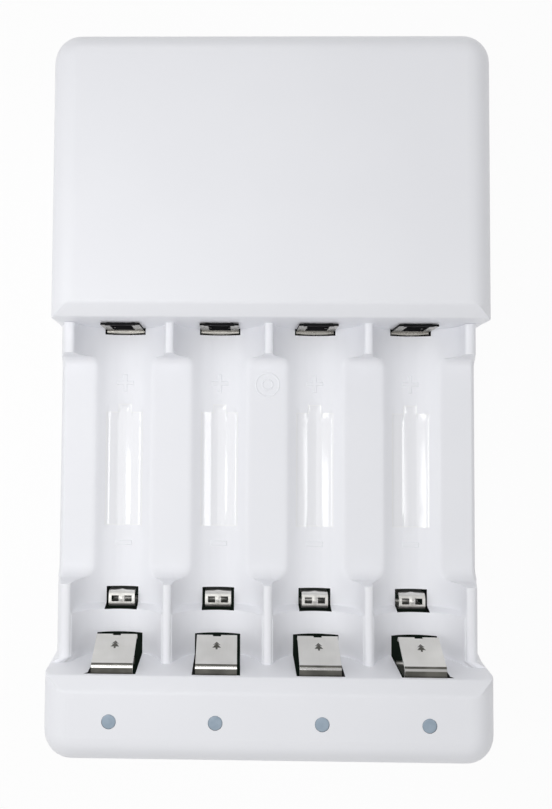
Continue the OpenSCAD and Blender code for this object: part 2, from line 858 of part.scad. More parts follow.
// Pivot barrel that the blades are set in
module plug_barrel() {
    color([0.90, 0.90, 0.91]) difference() {
        translate([0, plug_y, pivot_z]) bar_x(barrel_r, barrel_l);
        translate([0, plug_y, pivot_z]) bar_x(pin_r + 2 * pin_gap, barrel_l + 1);
        for (s = [-1, 1]) translate([s * blade_pitch / 2, plug_y, pivot_z]) {
            block([-blade_t / 2, -barrel_r - 1, -blade_w / 2], [blade_t / 2, -blade_root, blade_w / 2]);
        }
    }
}

// Flat blade with a round hole and a rounded tip
module plug_blade(side) {
    color([0.80, 0.76, 0.66]) translate([side * blade_pitch / 2, plug_y, pivot_z]) {
        along_x(blade_t) difference() {
            translate([-blade_reach, -blade_w / 2]) square([blade_reach - blade_root, blade_w]);
            for (s = [-1, 1]) spandrel([-blade_reach, s * blade_w / 2], blade_tip_r, 1, -s);
            translate([blade_hole_inset - blade_reach, 0]) circle(blade_hole_r);
        }
    }
}

module plug_blade_left() {
    plug_blade(-1);
}

module plug_blade_right() {
    plug_blade(1);
}

module plug_pin() {
    color([0.7, 0.7, 0.72]) translate([0, plug_y, pivot_z]) bar_x(pin_r, 2 * (well_x - hole_gap));
}

// Case screws, heads sunk in the back case
module case_screws() {
    color([0.45, 0.45, 0.48]) for (p = screw_places) translate([p[0], p[1], head_seat_z]) {
        translate([0, 0, -head_h]) difference() {
            cylinder(r = head_r, h = head_h);
            for (a = [0, 90]) rotate(a) cube([cross_l, cross_w, 2 * cross_depth], center = true);
        }
        translate([0, 0, -eps]) cylinder(r = screw_r, h = split_h - head_seat_z + screw_grip - 1);
    }
}

// Screw that holds a board on a post, its head on the board
module board_screw(z) {
    translate([0, 0, z]) cylinder(r = board_head_r, h = board_head_h);
    translate([0, 0, z - board_t - board_grip]) cylinder(r = board_screw_r, h = board_t + board_grip + eps);
}

module board_screws() {
    color([0.6, 0.6, 0.62]) {
        for (p = high_posts) translate(p) board_screw(power_top_z);
        for (p = low_posts) translate(p) board_screw(control_top_z);
    }
}

front_case();
back_case();
for (i = [1:4]) {
    positive_contact(i);
    aa_contact(i);
    aaa_contact(i);
    light_pipe(i);
    indicator_lamp(i);
}
control_board();
control_chip();
link_header();
power_board();
transformer_core();
transformer_winding();
mains_capacitor();
output_capacitor();
bridge_rectifier();
mains_fuse();
mains_terminal_left();
mains_terminal_right();
plug_barrel();
plug_blade_left();
plug_blade_right();
plug_pin();
case_screws();
board_screws();
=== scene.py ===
"""Looks of a four-bay cell charger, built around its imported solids.

Sizes are in millimetres in the frame of the solids: X across the bays, Y from the indicator base to the
power housing, Z from the back face to the front. Meshes are written in metres.
"""

import logging
import math
from dataclasses import dataclass, field
from enum import Enum

import bmesh
import bpy
import numpy as np
from mathutils import Matrix, Vector


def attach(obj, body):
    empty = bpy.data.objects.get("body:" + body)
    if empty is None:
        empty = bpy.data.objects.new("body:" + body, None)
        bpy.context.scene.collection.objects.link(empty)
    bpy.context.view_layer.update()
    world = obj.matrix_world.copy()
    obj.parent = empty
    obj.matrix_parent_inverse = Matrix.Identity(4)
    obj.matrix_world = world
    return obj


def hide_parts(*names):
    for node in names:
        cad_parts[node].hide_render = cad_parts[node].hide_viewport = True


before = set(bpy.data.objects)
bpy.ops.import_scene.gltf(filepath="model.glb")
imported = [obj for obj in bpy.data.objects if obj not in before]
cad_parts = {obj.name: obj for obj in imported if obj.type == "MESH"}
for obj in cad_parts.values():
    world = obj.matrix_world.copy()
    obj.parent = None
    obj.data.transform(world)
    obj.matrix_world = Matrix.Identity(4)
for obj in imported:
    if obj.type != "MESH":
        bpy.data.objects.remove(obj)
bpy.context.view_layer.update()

LOG = logging.getLogger("charger")
MM = 0.001
MERGE_M = 1e-7
IMAGE_H = 809
COAT_ROUGH = 0.15
GRAIN_SPAN = (0.3, 0.7)
CLOUD_SPAN = (0.35, 0.65)
BUMP_DEPTH_M = 0.0001
BIG_FACE_PULL = 80
Triple = tuple[float, float, float]
Grid = np.ndarray


class Face(Enum):
    """Which finish a face of the front case has; the inside is black painted shade, the bright edge a painted
    highlight.
    """

    OUTSIDE = 0
    POLISHED = 1
    INSIDE_PAINTED_SHADE = 2
    ICON_EDGE_HIGHLIGHT = 3


class Part(Enum):
    """Stretches of rows of the front case, from the end of the base to the end of the housing."""

    BASE = 0
    WALL = 1
    DECK = 2
    LEVEL = 3
    HOUSE = 4


class Metal(Enum):
    """Which finish a face of a contact has: dark is painted shade, and the long leaf's arrow too; bright is a
    painted highlight.
    """

    PLAIN = 0
    DARK = 1
    ROLL_HIGHLIGHT = 2


class Axis(Enum):
    """Axis that a profile is turned around."""

    X = "x"
    Z = "z"


def soft_min(a: Grid, b: Grid, k: float) -> Grid:
    """Smaller of two surfaces, blended by a parabola where they are within k of each other.

    Args:
        a: first surface.
        b: second surface.
        k: reach of the blend, in the unit of the surfaces.

    Returns:
        The blended surface.
    """
    h = np.clip(0.5 + 0.5 * (b - a) / k, 0, 1)
    return b + (a - b) * h - k * h * (1 - h)


def soft_ramp(t: Grid, k: float = 0.08) -> Grid:
    """Ramp from 0 to 1 over t from 0 to 1, with both corners rounded by k."""
    return soft_min(-soft_min(-t, np.zeros_like(t), k), np.ones_like(t), k)


def box_step(v: Grid, low: float, high: float, edge: float) -> Grid:
    """1 between low and high, 0 outside, with straight flanks as wide as edge centred on both limits."""
    return np.clip(np.minimum(v - low, high - v) / edge + 0.5, 0, 1)


def rounded_path(points: list[tuple[float, float]], radii: tuple[float, ...], steps: int = 5) -> Grid:
    """Polyline whose inner corners are arcs.

    Each corner is cut back along both legs by r * tan(turn / 2), and an arc about the point that is r away
    from both legs fills the cut.

    Args:
        points: corners, ends included.
        radii: arc radius at each inner corner.
        steps: stretches of each arc.

    Returns:
        Points of the path, two numbers each.
    """
    pts = np.asarray(points, float)
    out = [pts[:1]]
    for before, corner, after, r in zip(pts, pts[1:], pts[2:], radii):
        a = (before - corner) / np.linalg.norm(before - corner)
        b = (after - corner) / np.linalg.norm(after - corner)
        half = math.acos(np.clip(a @ b, -1, 1)) / 2
        middle = corner + (a + b) / np.linalg.norm(a + b) * r / math.sin(half)
        p, q = corner + a * r / math.tan(half), corner + b * r / math.tan(half)
        t = np.linspace(0, 1, steps + 1)[:, None]
        turn = math.pi - 2 * half
        arc = (np.sin((1 - t) * turn) * (p - middle) + np.sin(t * turn) * (q - middle)) / math.sin(turn)
        out.append(middle + arc)
    out.append(pts[-1:])
    return np.concatenate(out)


class Skin:
    """Collects grids of points and joins them into one mesh."""

    def __init__(self) -> None:
        """Starts with no points and no faces."""
        self.points: list[Grid] = []
        self.quads: list[Grid] = []
        self.marks: list[Grid] = []
        self.count = 0

    def add(self, points: Grid) -> Grid:
        """Adds points.

        Args:
            points: places in millimetres, in any layout.

        Returns:
            Their numbers, in the same layout.
        """
        flat = np.asarray(points, float).reshape(-1, 3)
        numbers = np.arange(self.count, self.count + len(flat)).reshape(points.shape[:-1])
        self.points.append(flat)
        self.count += len(flat)
        return numbers

    def face(self, a: Grid, b: Grid, c: Grid, d: Grid, mark: Grid | int = 0) -> None:
        """Adds one quad per entry of four arrays of point numbers.

        Args:
            a: first corners.
            b: second corners.
            c: third corners.
            d: fourth corners.
            mark: finish of each quad, or of all.
        """
        self.quads.append(np.stack([np.ravel(corner) for corner in (a, b, c, d)], axis=1))
        self.marks.append(np.broadcast_to(mark, np.shape(a)).ravel())

    def sheet(self, n: Grid, keep: Grid, mark: Grid | int = 0, flip: bool = False) -> None:
        """Covers a grid of point numbers with quads.

        Args:
            n: point numbers, rows by columns.
            keep: which quads are made, one row and one column fewer than n.
            mark: finish of each quad, or of all.
            flip: turns the quads over.
        """
        a, b, c, d = n[:-1, :-1], n[:-1, 1:], n[1:, 1:], n[1:, :-1]
        if flip:
            b, d = d, b
        chosen = np.broadcast_to(mark, keep.shape)[keep]
        self.face(a[keep], b[keep], c[keep], d[keep], chosen)

    def walls(self, n: Grid, m: Grid, keep: Grid, mark: int = 0, border: bool = True) -> None:
        """Closes the edges between two sheets that have the same kept quads.

        An edge gets a wall where the quad on one side of it is kept and the one on the other side is not.

        Args:
            n: point numbers of the upper sheet.
            m: point numbers of the lower sheet.
            keep: kept quads of both.
            mark: finish of the walls.
            border: also closes the outer border of the grid.
        """
        k = np.pad(keep, 1, constant_values=not border)
        here = k[1:-1, 1:-1]
        lo, hi = slice(None, -1), slice(1, None)
        sides = (
            (k[:-2, 1:-1], (lo, lo), (lo, hi)), (k[1:-1, 2:], (lo, hi), (hi, hi)),
            (k[2:, 1:-1], (hi, hi), (hi, lo)), (k[1:-1, :-2], (hi, lo), (lo, lo)),
        )
        for other, p, q in sides:
            edge = here & ~other
            self.face(n[q][edge], n[p][edge], m[p][edge], m[q][edge], mark)

    def band(self, upper: Grid, lower: Grid, mark: int = 0, flip: bool = False) -> None:
        """Joins two closed loops of point numbers by a ring of quads."""
        a, b, c, d = upper, np.roll(upper, -1), np.roll(lower, -1), lower
        self.face(a, *((d, c, b) if flip else (b, c, d)), mark)

    def build(self, name: str, finishes: list[bpy.types.Material], sharp: float = 40) -> bpy.types.Object:
        """Writes the mesh and its object.

        Args:
            name: name of the piece.
            finishes: materials in the order of the face marks.
            sharp: edges that turn more than this many degrees are shaded sharp.

        Returns:
            The new object, at the origin.
        """
        points, quads = np.concatenate(self.points) * MM, np.concatenate(self.quads)
        used, quads = np.unique(quads, return_inverse=True)
        quads = quads.reshape(-1, 4)
        points = points[used]
        mesh = bpy.data.meshes.new(name)
        mesh.vertices.add(len(points))
        mesh.vertices.foreach_set("co", points.ravel())
        mesh.loops.add(quads.size)
        mesh.loops.foreach_set("vertex_index", quads.ravel().astype(np.int32))
        mesh.polygons.add(len(quads))
        mesh.polygons.foreach_set("loop_start", np.arange(0, quads.size, 4, dtype=np.int32))
        mesh.polygons.foreach_set("material_index", np.concatenate(self.marks).astype(np.int32))
        mesh.update(calc_edges=True)
        tidy = bmesh.new()
        tidy.from_mesh(mesh)
        bmesh.ops.remove_doubles(tidy, verts=tidy.verts, dist=MERGE_M)
        tidy.to_mesh(mesh)
        tidy.free()
        mesh.validate()
        mesh.shade_smooth()
        mesh.set_sharp_from_angle(angle=math.radians(sharp))
        for finish in finishes:
            mesh.materials.append(finish)
        piece = bpy.data.objects.new(name, mesh)
        bpy.context.scene.collection.objects.link(piece)
        return piece


def seat(piece: bpy.types.Object, body: str, slot: str, *nodes: str) -> None:
    """Puts a piece on its body and lets it stand for its solids.

    Args:
        piece: the finished piece.
        body: body that carries it.
        slot: not used.
        nodes: solids that it stands for.
    """
    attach(piece, body)
    if nodes:
        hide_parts(*nodes)
    LOG.info("%s on %s, %d faces", piece.name, body, len(piece.data.polygons))


def new_node(tree: bpy.types.NodeTree, kind: str, **values: float | Triple) -> bpy.types.Node:
    """Adds a texture or helper node.

    Args:
        tree: tree that gets the node.
        kind: type of the node, without its prefix.
        values: constants of its inputs, with _ for a space.

    Returns:
        The new node.
    """
    node = tree.nodes.new(f"ShaderNode{kind}")
    for name, value in values.items():
        node.inputs[name.replace("_", " ")].default_value = value
    return node


@dataclass(frozen=True)
class Finish:
    """Surface finish: two tones mixed by broad clouds, and a fine grain in gloss and relief.

    Its material has a name of its own, because the frame brings plain materials named after the slots.
    """

    name: str
    tone: Triple
    shade: Triple
    gloss: tuple[float, float] = (0.3, 0.4)
    metal: float = 0.0
    cloud: float = 60.0
    grain: float = 900.0
    relief: float = 0.04
    stretch: Triple = (1.0, 1.0, 1.0)
    coat: float = 0.0
    shine: float = 0.5

    def material(self) -> bpy.types.Material:
        """Makes the node material once and returns it from then on."""
        made = bpy.data.materials.get(f"{self.name}_finish")
        return made if made else self._make()

    def _make(self) -> bpy.types.Material:
        """Builds the node tree: clouds to colour, stretched grain to roughness and bump.

        Returns:
            The new material.
        """
        mat = bpy.data.materials.new(f"{self.name}_finish")
        mat.use_nodes = True
        tree = mat.node_tree
        shader = tree.nodes["Principled BSDF"]
        shader.inputs["Metallic"].default_value = self.metal
        shader.inputs["Specular IOR Level"].default_value = self.shine
        shader.inputs["Coat Weight"].default_value = self.coat
        shader.inputs["Coat Roughness"].default_value = COAT_ROUGH
        place = new_node(tree, "TexCoord")
        self._colour(tree, place, shader)
        turn = new_node(tree, "Mapping", Scale=self.stretch)
        tree.links.new(place.outputs["Object"], turn.inputs["Vector"])
        grain = new_node(tree, "TexNoise", Scale=self.grain, Detail=3)
        tree.links.new(turn.outputs["Vector"], grain.inputs["Vector"])
        (low, high), (smooth, rough) = GRAIN_SPAN, self.gloss
        span = new_node(tree, "MapRange", From_Min=low, From_Max=high, To_Min=smooth, To_Max=rough)
        tree.links.new(grain.outputs["Fac"], span.inputs["Value"])
        tree.links.new(span.outputs["Result"], shader.inputs["Roughness"])
        bump = new_node(tree, "Bump", Strength=self.relief, Distance=BUMP_DEPTH_M)
        tree.links.new(grain.outputs["Fac"], bump.inputs["Height"])
        tree.links.new(bump.outputs["Normal"], shader.inputs["Normal"])
        return mat

    def _colour(self, tree: bpy.types.NodeTree, place: bpy.types.Node, shader: bpy.types.Node) -> None:
        """Links a two-tone cloud to the base colour.

        Args:
            tree: tree that gets the nodes.
            place: texture coordinate node.
            shader: node whose colour is set.
        """
        cloud = new_node(tree, "TexNoise", Scale=self.cloud, Detail=2)
        tree.links.new(place.outputs["Object"], cloud.inputs["Vector"])
        ramp = new_node(tree, "ValToRGB")
        for stop, place_on, colour in zip(ramp.color_ramp.elements, CLOUD_SPAN, (self.shade, self.tone)):
            stop.position, stop.color = place_on, (*colour, 1)
        tree.links.new(cloud.outputs["Fac"], ramp.inputs["Fac"])
        tree.links.new(ramp.outputs["Color"], shader.inputs["Base Color"])


WHITE = Finish("white_plastic", (0.90, 0.908, 0.945), (0.888, 0.896, 0.934), (0.34, 0.44))
POLISHED = Finish(
    "polished_plastic", (0.915, 0.921, 0.95), (0.905, 0.911, 0.941), (0.06, 0.1), relief=0.01, coat=0.3,
)
# Band round the cell outline: its lighter tone is a painted highlight, its gloss is real.
ICON_EDGE_HIGHLIGHT = Finish(
    "polished_edge_painted_highlight", (0.97, 0.973, 0.985), (0.96, 0.964, 0.978), (0.05, 0.08), relief=0.01, coat=0.6,
)
# Black for the inside of the front case, the walls of its slots and parts of the plus plates: painted shade.
INSIDE_PAINTED_SHADE = Finish("shell_inside_painted_shade", (0.01, 0.01, 0.011), (0.006, 0.006, 0.007), (0.6, 0.8), shine=0.1)
NICKEL = Finish(
    "nickel_strip", (0.87, 0.86, 0.825), (0.80, 0.79, 0.755), (0.36, 0.5), metal=1.0, cloud=220.0,
    grain=420.0, relief=0.12, stretch=(9.0, 1.0, 1.0),
)
DULL = Finish(
    "dull_nickel", (0.46, 0.445, 0.41), (0.36, 0.35, 0.32), (0.22, 0.36), metal=1.0, cloud=220.0, grain=420.0,
    relief=0.12, stretch=(9.0, 1.0, 1.0),
)
# Bright line on the roll of the long leaves: painted highlight.
ROLL_HIGHLIGHT = Finish("roll_highlight_nickel", (0.93, 0.92, 0.90), (0.88, 0.87, 0.85), (0.1, 0.16), metal=1.0, cloud=220.0)
# Dark arrow and dark lines on the long leaves; the lines on the roll are painted shade.
LEAF_SHADE_AND_ARROW = Finish("leaf_shade_and_arrow_nickel", (0.20, 0.195, 0.175), (0.12, 0.118, 0.105), (0.3, 0.45), metal=1.0, cloud=300.0)
LENS = Finish("light_pipe", (0.37, 0.452, 0.54), (0.325, 0.405, 0.49), (0.14, 0.22), cloud=900.0, coat=0.3)
RESIN = Finish("lamp_resin", (0.80, 0.84, 0.74), (0.74, 0.78, 0.70), (0.1, 0.2), coat=0.5)
BRASS = Finish(
    "plug_blade", (0.72, 0.66, 0.52), (0.62, 0.56, 0.44), (0.2, 0.34), metal=1.0, cloud=260.0, grain=500.0,
    relief=0.1, stretch=(1.0, 0.12, 1.0),
)
STEEL = Finish("zinc_steel", (0.56, 0.57, 0.58), (0.45, 0.46, 0.47), (0.25, 0.4), metal=1.0, cloud=500.0)
BLACK = Finish("black_resin", (0.022, 0.022, 0.024), (0.014, 0.014, 0.016), (0.45, 0.6), relief=0.15)
# The board's green is its own, darkened nearly to black as painted shade inside the case.
BOARD_IN_PAINTED_SHADE = Finish(
    "circuit_board_painted_shade", (0.004, 0.015, 0.008), (0.003, 0.011, 0.006), (0.4, 0.55), cloud=240.0, shine=0.2,
)
FERRITE = Finish("ferrite", (0.045, 0.045, 0.05), (0.03, 0.03, 0.034), (0.5, 0.7), relief=0.2)
TAPE = Finish("winding_tape", (0.72, 0.47, 0.05), (0.62, 0.39, 0.035), (0.3, 0.42), stretch=(1.0, 1.0, 12.0))
SLEEVE = Finish("can_sleeve", (0.014, 0.018, 0.05), (0.01, 0.012, 0.035), (0.2, 0.3))
CERAMIC = Finish("fuse_body", (0.70, 0.70, 0.64), (0.62, 0.62, 0.57), (0.3, 0.5))


@dataclass
class Fall:
    """How the front falls away to the parting line past each point of its border.

    A round edge turns from the direction up to the direction out, then the side wall goes down to low.
    """

    out: Grid
    up: Grid
    radius: Grid
    start: Grid
    low: Grid
    drift: Grid
    edge_steps: int = 8
    shoulder_gap: float = 0.7
    foot: tuple[tuple[float, float], ...] = ((0.0, 0.25), (0.07, 0.07), (0.25, 0.0))  # inset, rise

    def rings(self, border: Grid, split_z: float, shoulder_z: float, draft: float) -> Grid:
        """Points below the border, ring by ring.

        On the round edge a point at angle a is border + out * r * (sin a - sin start) + up * r * (cos a -
        cos start). The wall then runs through the shoulder, set in by draft per unit of height, to the
        parting line, whose edge is rounded too.

        Args:
            border: border points.
            split_z: height of the parting line.
            shoulder_z: height at which every side has the same plan.
            draft: lean of the side wall per unit of height.

        Returns:
            Border points by rings by three.
        """
        rings = []
        for t in np.linspace(0, 1, self.edge_steps + 1)[1:]:
            a = self.start + (math.pi / 2 - self.start) * t
            ring = border + self.out * (self.radius * (np.sin(a) - np.sin(self.start)))[:, None]
            ring = ring + self.up * (self.radius * (np.cos(a) - np.cos(self.start)))[:, None]
            ring[:, 1] += self.drift * t
            rings.append(ring)
        last = rings[-1]
        z = np.minimum(shoulder_z, last[:, 2] - self.shoulder_gap)
        share = (last[:, 2] - z) / (last[:, 2] - split_z)
        x = self.low[:, 0] - self.out[:, 0] * draft * (z - split_z)
        shoulder = np.stack([x, last[:, 1] + (self.low[:, 1] - last[:, 1]) * share, z], axis=1)
        rings += [(last + shoulder) / 2, shoulder]
        for inset, rise in self.foot:
            plan = self.low - self.out[:, :2] * inset
            rings.append(np.column_stack([plan, np.full(len(plan), split_z + rise)]))
        return np.stack(rings, axis=1)


@dataclass
class FrontCase:
    """The white front moulding: power housing, four bays, ribs and the indicator base.

    Its outside is one grid of rows along Y and columns along X whose border is carried down the sides as a
    rim, and a second grid with the same faces is its inside. Slots are faces left out of both grids.
    """

    bay_x: tuple[float, ...] = (-24.0, -8.0, 8.0, 24.0)
    side_x: float = 34.75
    end_y: float = 56.8
    draft: float = 0.4
    shoulder_drop: float = 0.35
    corner_r: float = 4.8
    edge_r: float = 4.0
    wall_edge: float = 0.12
    housing_y: float = 11.3
    wall_lean: float = 0.12
    base_top_y: float = -43.4
    base_foot_y: float = -42.3
    front_z: float = 27.0
    wall_top_z: float = 25.3
    bevel_run: float = 2.1
    bevel_round: tuple[float, float] = (0.6, 1.2)  # lower and upper edge
    bevel_drift: float = 0.2
    bevel_in: float = 4.0
    crest: tuple[float, float] = (0.003, 24.5)  # set-back and height of the wall's last row
    wall_start: float = 0.05
    roof_fall: float = 0.002
    split_z: float = 8.0
    wall: float = 2.0
    floor_z: float = 11.0
    shelf_z: float = 13.3
    under_z: float = 9.2
    trough_r: float = 7.25
    trough_wall: float = 20.0
    trough_blend: float = 0.4
    step_y: float = -34.7
    step_lean: float = 0.62
    step_round: float = 0.06
    island_z: float = 12.65
    rib_z: float = 19.7
    rib_x: float = 33.15
    rib_half: float = 0.75
    rib_round: float = 0.6
    deck_edge: tuple[float, float] = (0.7, 1.0)  # round side edge at the islands, at the ribs
    base_rib: Triple = (30.3, 30.5, 2.2)  # start and end of its steep end, radius of its foot
    top_rib: Triple = (6.3, 6.42, 1.5)  # the same at the housing
    lens_y: float = -49.9
    lens_r: float = 1.105
    lens_clear: float = 1.5
    long_slot: Triple = (3.7, -39.1, 24.7)  # half width, end along Y, top
    short_slot: Triple = (2.65, -35.44, -32.0)  # half width, start and end along Y
    pocket: tuple[float, float] = (-36.7, 12.85)  # start along Y, height
    plus_slot: tuple[float, float] = (3.4, 10.2)  # half width, start along Y
    window: Triple = (2.3, 12.75, 18.9)  # half width, bottom, top
    icon: Triple = (3.035, -21.75, -2.9)  # half width, start and end along Y
    nub: tuple[float, float] = (1.05, -1.55)  # half width, end along Y
    icon_edge: float = 0.17
    icon_sink: float = 0.1
    plus_y: float = 2.07
    minus_y: float = -24.75
    bar: tuple[float, float] = (1.36, 0.3)  # half length, half thickness
    plus_half: float = 1.45
    minus_half: float = 0.35
    bar_edge: float = 0.07
    bar_rise: float = 0.12
    half_columns: tuple[float, ...] = (
        0, 0.25, 0.35, 0.965, 1.1, 1.135, 1.3, 1.42, 2.3, 2.65, 2.95, 3.12, 3.4, 3.7, 4.1, 4.4, 4.65, 4.9, 5.3,
        5.8, 6.3, 6.7, 6.95, 7.1, 7.19, 7.25, 7.31, 7.42, 7.58, 7.8, 8.0,
    )
    outer_columns: tuple[float, ...] = (8.08, 8.15)
    stretch_x: tuple[float, float] = (1.8, 5.2)  # start of the stretch at the ends, at the bays
    corner_rows: tuple[float, ...] = (0, 10, 22, 34, 46, 58, 70, 80, 90)
    lens_rows: tuple[float, ...] = (-1.1, -0.7, -0.35, 0, 0.35, 0.7, 1.1)
    base_rows: tuple[float, float] = (-48.3, -47.4)
    wall_rows: tuple[float, ...] = (0.06, 0.15, 0.3, 0.45, 0.6, 0.75, 0.88, 0.96, 1.0)
    deck_rows: tuple[float, ...] = (
        -42.0, -41.2, -40.3, -39.5, -39.1, -38.5, -37.5, -36.6, -36.0, -35.6, -35.44, -35.35, -35.25, -35.1,
        -34.9, -34.75, -34.65, -34.3, -33.2, -32.4, -32.0, -31.4, -30.9, -30.65, -30.53, -30.49, -30.45, -30.4,
        -30.35, -30.3, -30.26, -30.19, -30.08, -29.9, -29.65, -29.35, -29.0, -28.6, -28.1, -27.4, -26.2, -25.15,
        -25.05, -24.45, -24.35, -23.0, -21.835, -21.665, -19, -16, -13, -10, -7, -4.5, -2.985, -2.815, -1.635,
        -1.465, -0.5, 0.57, 0.67, 1.2, 1.72, 1.82, 2.32, 2.42, 2.95, 3.47, 3.57, 4.2, 4.65, 4.9, 5.2, 5.5, 5.75,
        5.95, 6.1, 6.2, 6.26, 6.3, 6.32, 6.34, 6.36, 6.38, 6.4, 6.43, 6.5, 6.7, 7.2, 8.2, 9.2, 10.2, 10.7,
    )
    level_rows: tuple[float, ...] = (11.5, 14.5, 16.8, 20.2, 22.0, 23.4, 24.3)
    flat_rows: tuple[float, ...] = (19, 25, 31, 37, 43, 48.5)
    square: float = 1.1
    tiny: float = 0.01
    far: float = 99.0

    def build(self) -> None:
        """Computes the grids, leaves out the slots, closes the shell and writes the piece."""
        self._columns()
        self._rows()
        skin = Skin()
        keep, mark = self._faces()
        outer, inner = self._outer(), self._inner()
        n, m = skin.add(outer), skin.add(inner)
        skin.sheet(n, keep, mark)
        # The inside and the walls of the slots are black: painted shade.
        skin.sheet(m, keep, Face.INSIDE_PAINTED_SHADE.value, flip=True)
        skin.walls(n, m, keep, Face.INSIDE_PAINTED_SHADE.value, border=False)
        loops = [self._loop(n), *(skin.add(ring) for ring in self._rim(outer))]
        for upper, lower in zip(loops, loops[1:]):
            skin.band(upper, lower, flip=True)
        under = [skin.add(self._under_ring()), self._loop(m)]
        skin.band(loops[-1], under[0], flip=True)
        skin.band(under[0], under[1], Face.INSIDE_PAINTED_SHADE.value, flip=True)
        finishes = [finish.material() for finish in (WHITE, POLISHED, INSIDE_PAINTED_SHADE, ICON_EDGE_HIGHLIGHT)]
        piece = skin.build("front_moulding", finishes, sharp=38)
        weights = piece.modifiers.new("even_normals", "WEIGHTED_NORMAL")
        weights.keep_sharp, weights.weight = True, BIG_FACE_PULL
        seat(piece, "case", "white_plastic", "front_case")

    def _columns(self) -> None:
        """Lays out the columns: mirrored half bays side by side, and the outer ribs past the last bays."""
        half = np.array(self.half_columns)
        bay = np.concatenate([-half[:0:-1], half])
        one = np.concatenate([bay[1:] + x for x in self.bay_x])
        lead = self.bay_x[0] - half[-1]
        tail = self.bay_x[-1] + np.array(self.outer_columns)
        self.x0 = np.concatenate([-tail[::-1], [lead], one, tail])
        centres = np.array(self.bay_x)
        self.bay = np.abs(self.x0[:, None] - centres).argmin(axis=1)
        self.dx = self.x0 - centres[self.bay]
        self.reach = self.x0[-1]

    def _rows(self) -> None:
        """Lays out the rows of the base, its wall, the bays, the housing's wall and the housing."""
        self.edge_z = self.front_z - self.edge_r
        self.inner_r = self.corner_r - self.draft - self.edge_r
        self.corner_y = self.end_y - self.corner_r
        corner = self.corner_y + self.inner_r * np.sin(np.radians(self.corner_rows))
        lens = self.lens_y + np.array(self.lens_rows)
        bevel = rounded_path(
            [(self.base_rows[1], self.front_z), (self.base_top_y - self.bevel_run, self.front_z),
             (self.base_top_y, self.wall_top_z), (self.base_top_y + self.wall_start, self.long_slot[2])],
            self.bevel_round[::-1])
        self.base = np.concatenate([-corner[::-1], lens, self.base_rows[:1], bevel[:, 0]])
        self.base_z = np.concatenate([np.full(len(self.base) - len(bevel), self.front_z), bevel[:, 1]])
        self.base_t = np.array(self.wall_rows)
        self.deck = np.array([*self.deck_rows, self.housing_y])
        self.level = np.sort([*self.level_rows, *self.window[1:]])
        top_y = self.housing_y + self.wall_lean
        crest = rounded_path(
            [(top_y - self.crest[0], self.crest[1]), (top_y, self.wall_top_z),
             (top_y + self.bevel_run, self.front_z), (top_y + self.bevel_run + 2, self.front_z)],
            self.bevel_round)
        self.house = np.concatenate([crest[:, 0], self.flat_rows, corner])
        self.house_z = np.concatenate([crest[:, 1], np.full(len(self.house) - len(crest), self.front_z)])
        self.parts = tuple(len(rows) for rows in (self.base, self.base_t, self.deck, self.level, self.house))
        ends = np.cumsum([0, *self.parts])
        self.rows = {part: slice(*pair) for part, pair in zip(Part, zip(ends, ends[1:]))}
        self._sides()

    def _side(self, z: Grid) -> Grid:
        """Half the width of the housing and base: a leaning wall, then the round front edge.

        Args:
            z: heights.

        Returns:
            Half the width at each height.
        """
        wall = self.side_x - self.draft * (z - self.split_z) / (self.edge_z - self.split_z)
        rise = np.clip(z - self.edge_z, 0, self.edge_r)
        return np.minimum(wall, self.side_x - self.draft - self.edge_r + np.sqrt(self.edge_r**2 - rise**2))

    def _sides(self) -> None:
        """Works out, for each row, where the front face ends at the side and how the side falls away."""
        y = self._joined(self.base, 0.0, 0.0, 0.0, self.house)
        s = np.clip((np.abs(y) - self.corner_y) / self.inner_r, 0, 1)
        out = np.stack([np.sqrt(1 - s**2), np.sign(y) * s, 0 * s], axis=1)
        up = np.tile([0.0, 0.0, 1.0], (len(y), 1))
        up[self.rows[Part.WALL]], up[self.rows[Part.LEVEL]] = (0, 1, 0), (0, -1, 0)
        rise = (self._level(self.deck) - self.island_z) / (self.rib_z - self.island_z)
        island_x = float(self._side(np.array(self.island_z)))
        edge = self.deck_edge[0] + (self.deck_edge[1] - self.deck_edge[0]) * rise
        share = (self.level - self.floor_z) / (self.wall_top_z - self.floor_z)
        wall_z = self.long_slot[2] + (self.rib_z - self.long_slot[2]) * self.base_t
        level_z = self.rib_z + (self.wall_top_z - self.rib_z) * share
        corner_x = self.side_x - self.corner_r
        tops = (self.base_z, self.house_z)
        start = [np.arccos(np.clip((z - self.edge_z) / self.edge_r, 0, 1)) for z in tops]
        ends = (self.rows[Part.BASE], self.rows[Part.HOUSE])
        front = [corner_x + self.inner_r * out[rows, 0] + self.edge_r * np.sin(a)
                 for rows, a in zip(ends, start)]
        self.side_b = self._joined(
            front[0], self._side(wall_z) - self.wall_edge, island_x + (self.rib_x - island_x) * rise - edge,
            self._side(level_z) - self.wall_edge, front[1])
        radius = self._joined(self.edge_r, self.wall_edge, edge, self.wall_edge, self.edge_r)
        low_y = self._joined(
            self.base, self.base_top_y + (self.base_foot_y - self.base_top_y) * self.base_t, self.deck,
            self.housing_y + np.linspace(0, 1, len(self.level) + 1)[1:], self._house_low())
        low_y = np.where(s > 0, np.sign(y) * (self.corner_y + self.corner_r * s), low_y)
        low = np.stack([corner_x + self.corner_r * out[:, 0], low_y], axis=1)
        sink = [self.bevel_drift * (self.front_z - z) / (self.front_z - self.long_slot[2]) for z in tops]
        drift = self._joined(-sink[0], 0.0, 0.0, 0.0, sink[1])
        angle = self._joined(start[0], 0.0, 0.0, 0.0, start[1])
        self.fall = Fall(out, up, radius, angle, low, drift)
        end, bay = self.stretch_x
        self.stretch_from = self._joined(end, bay, bay, bay, end)

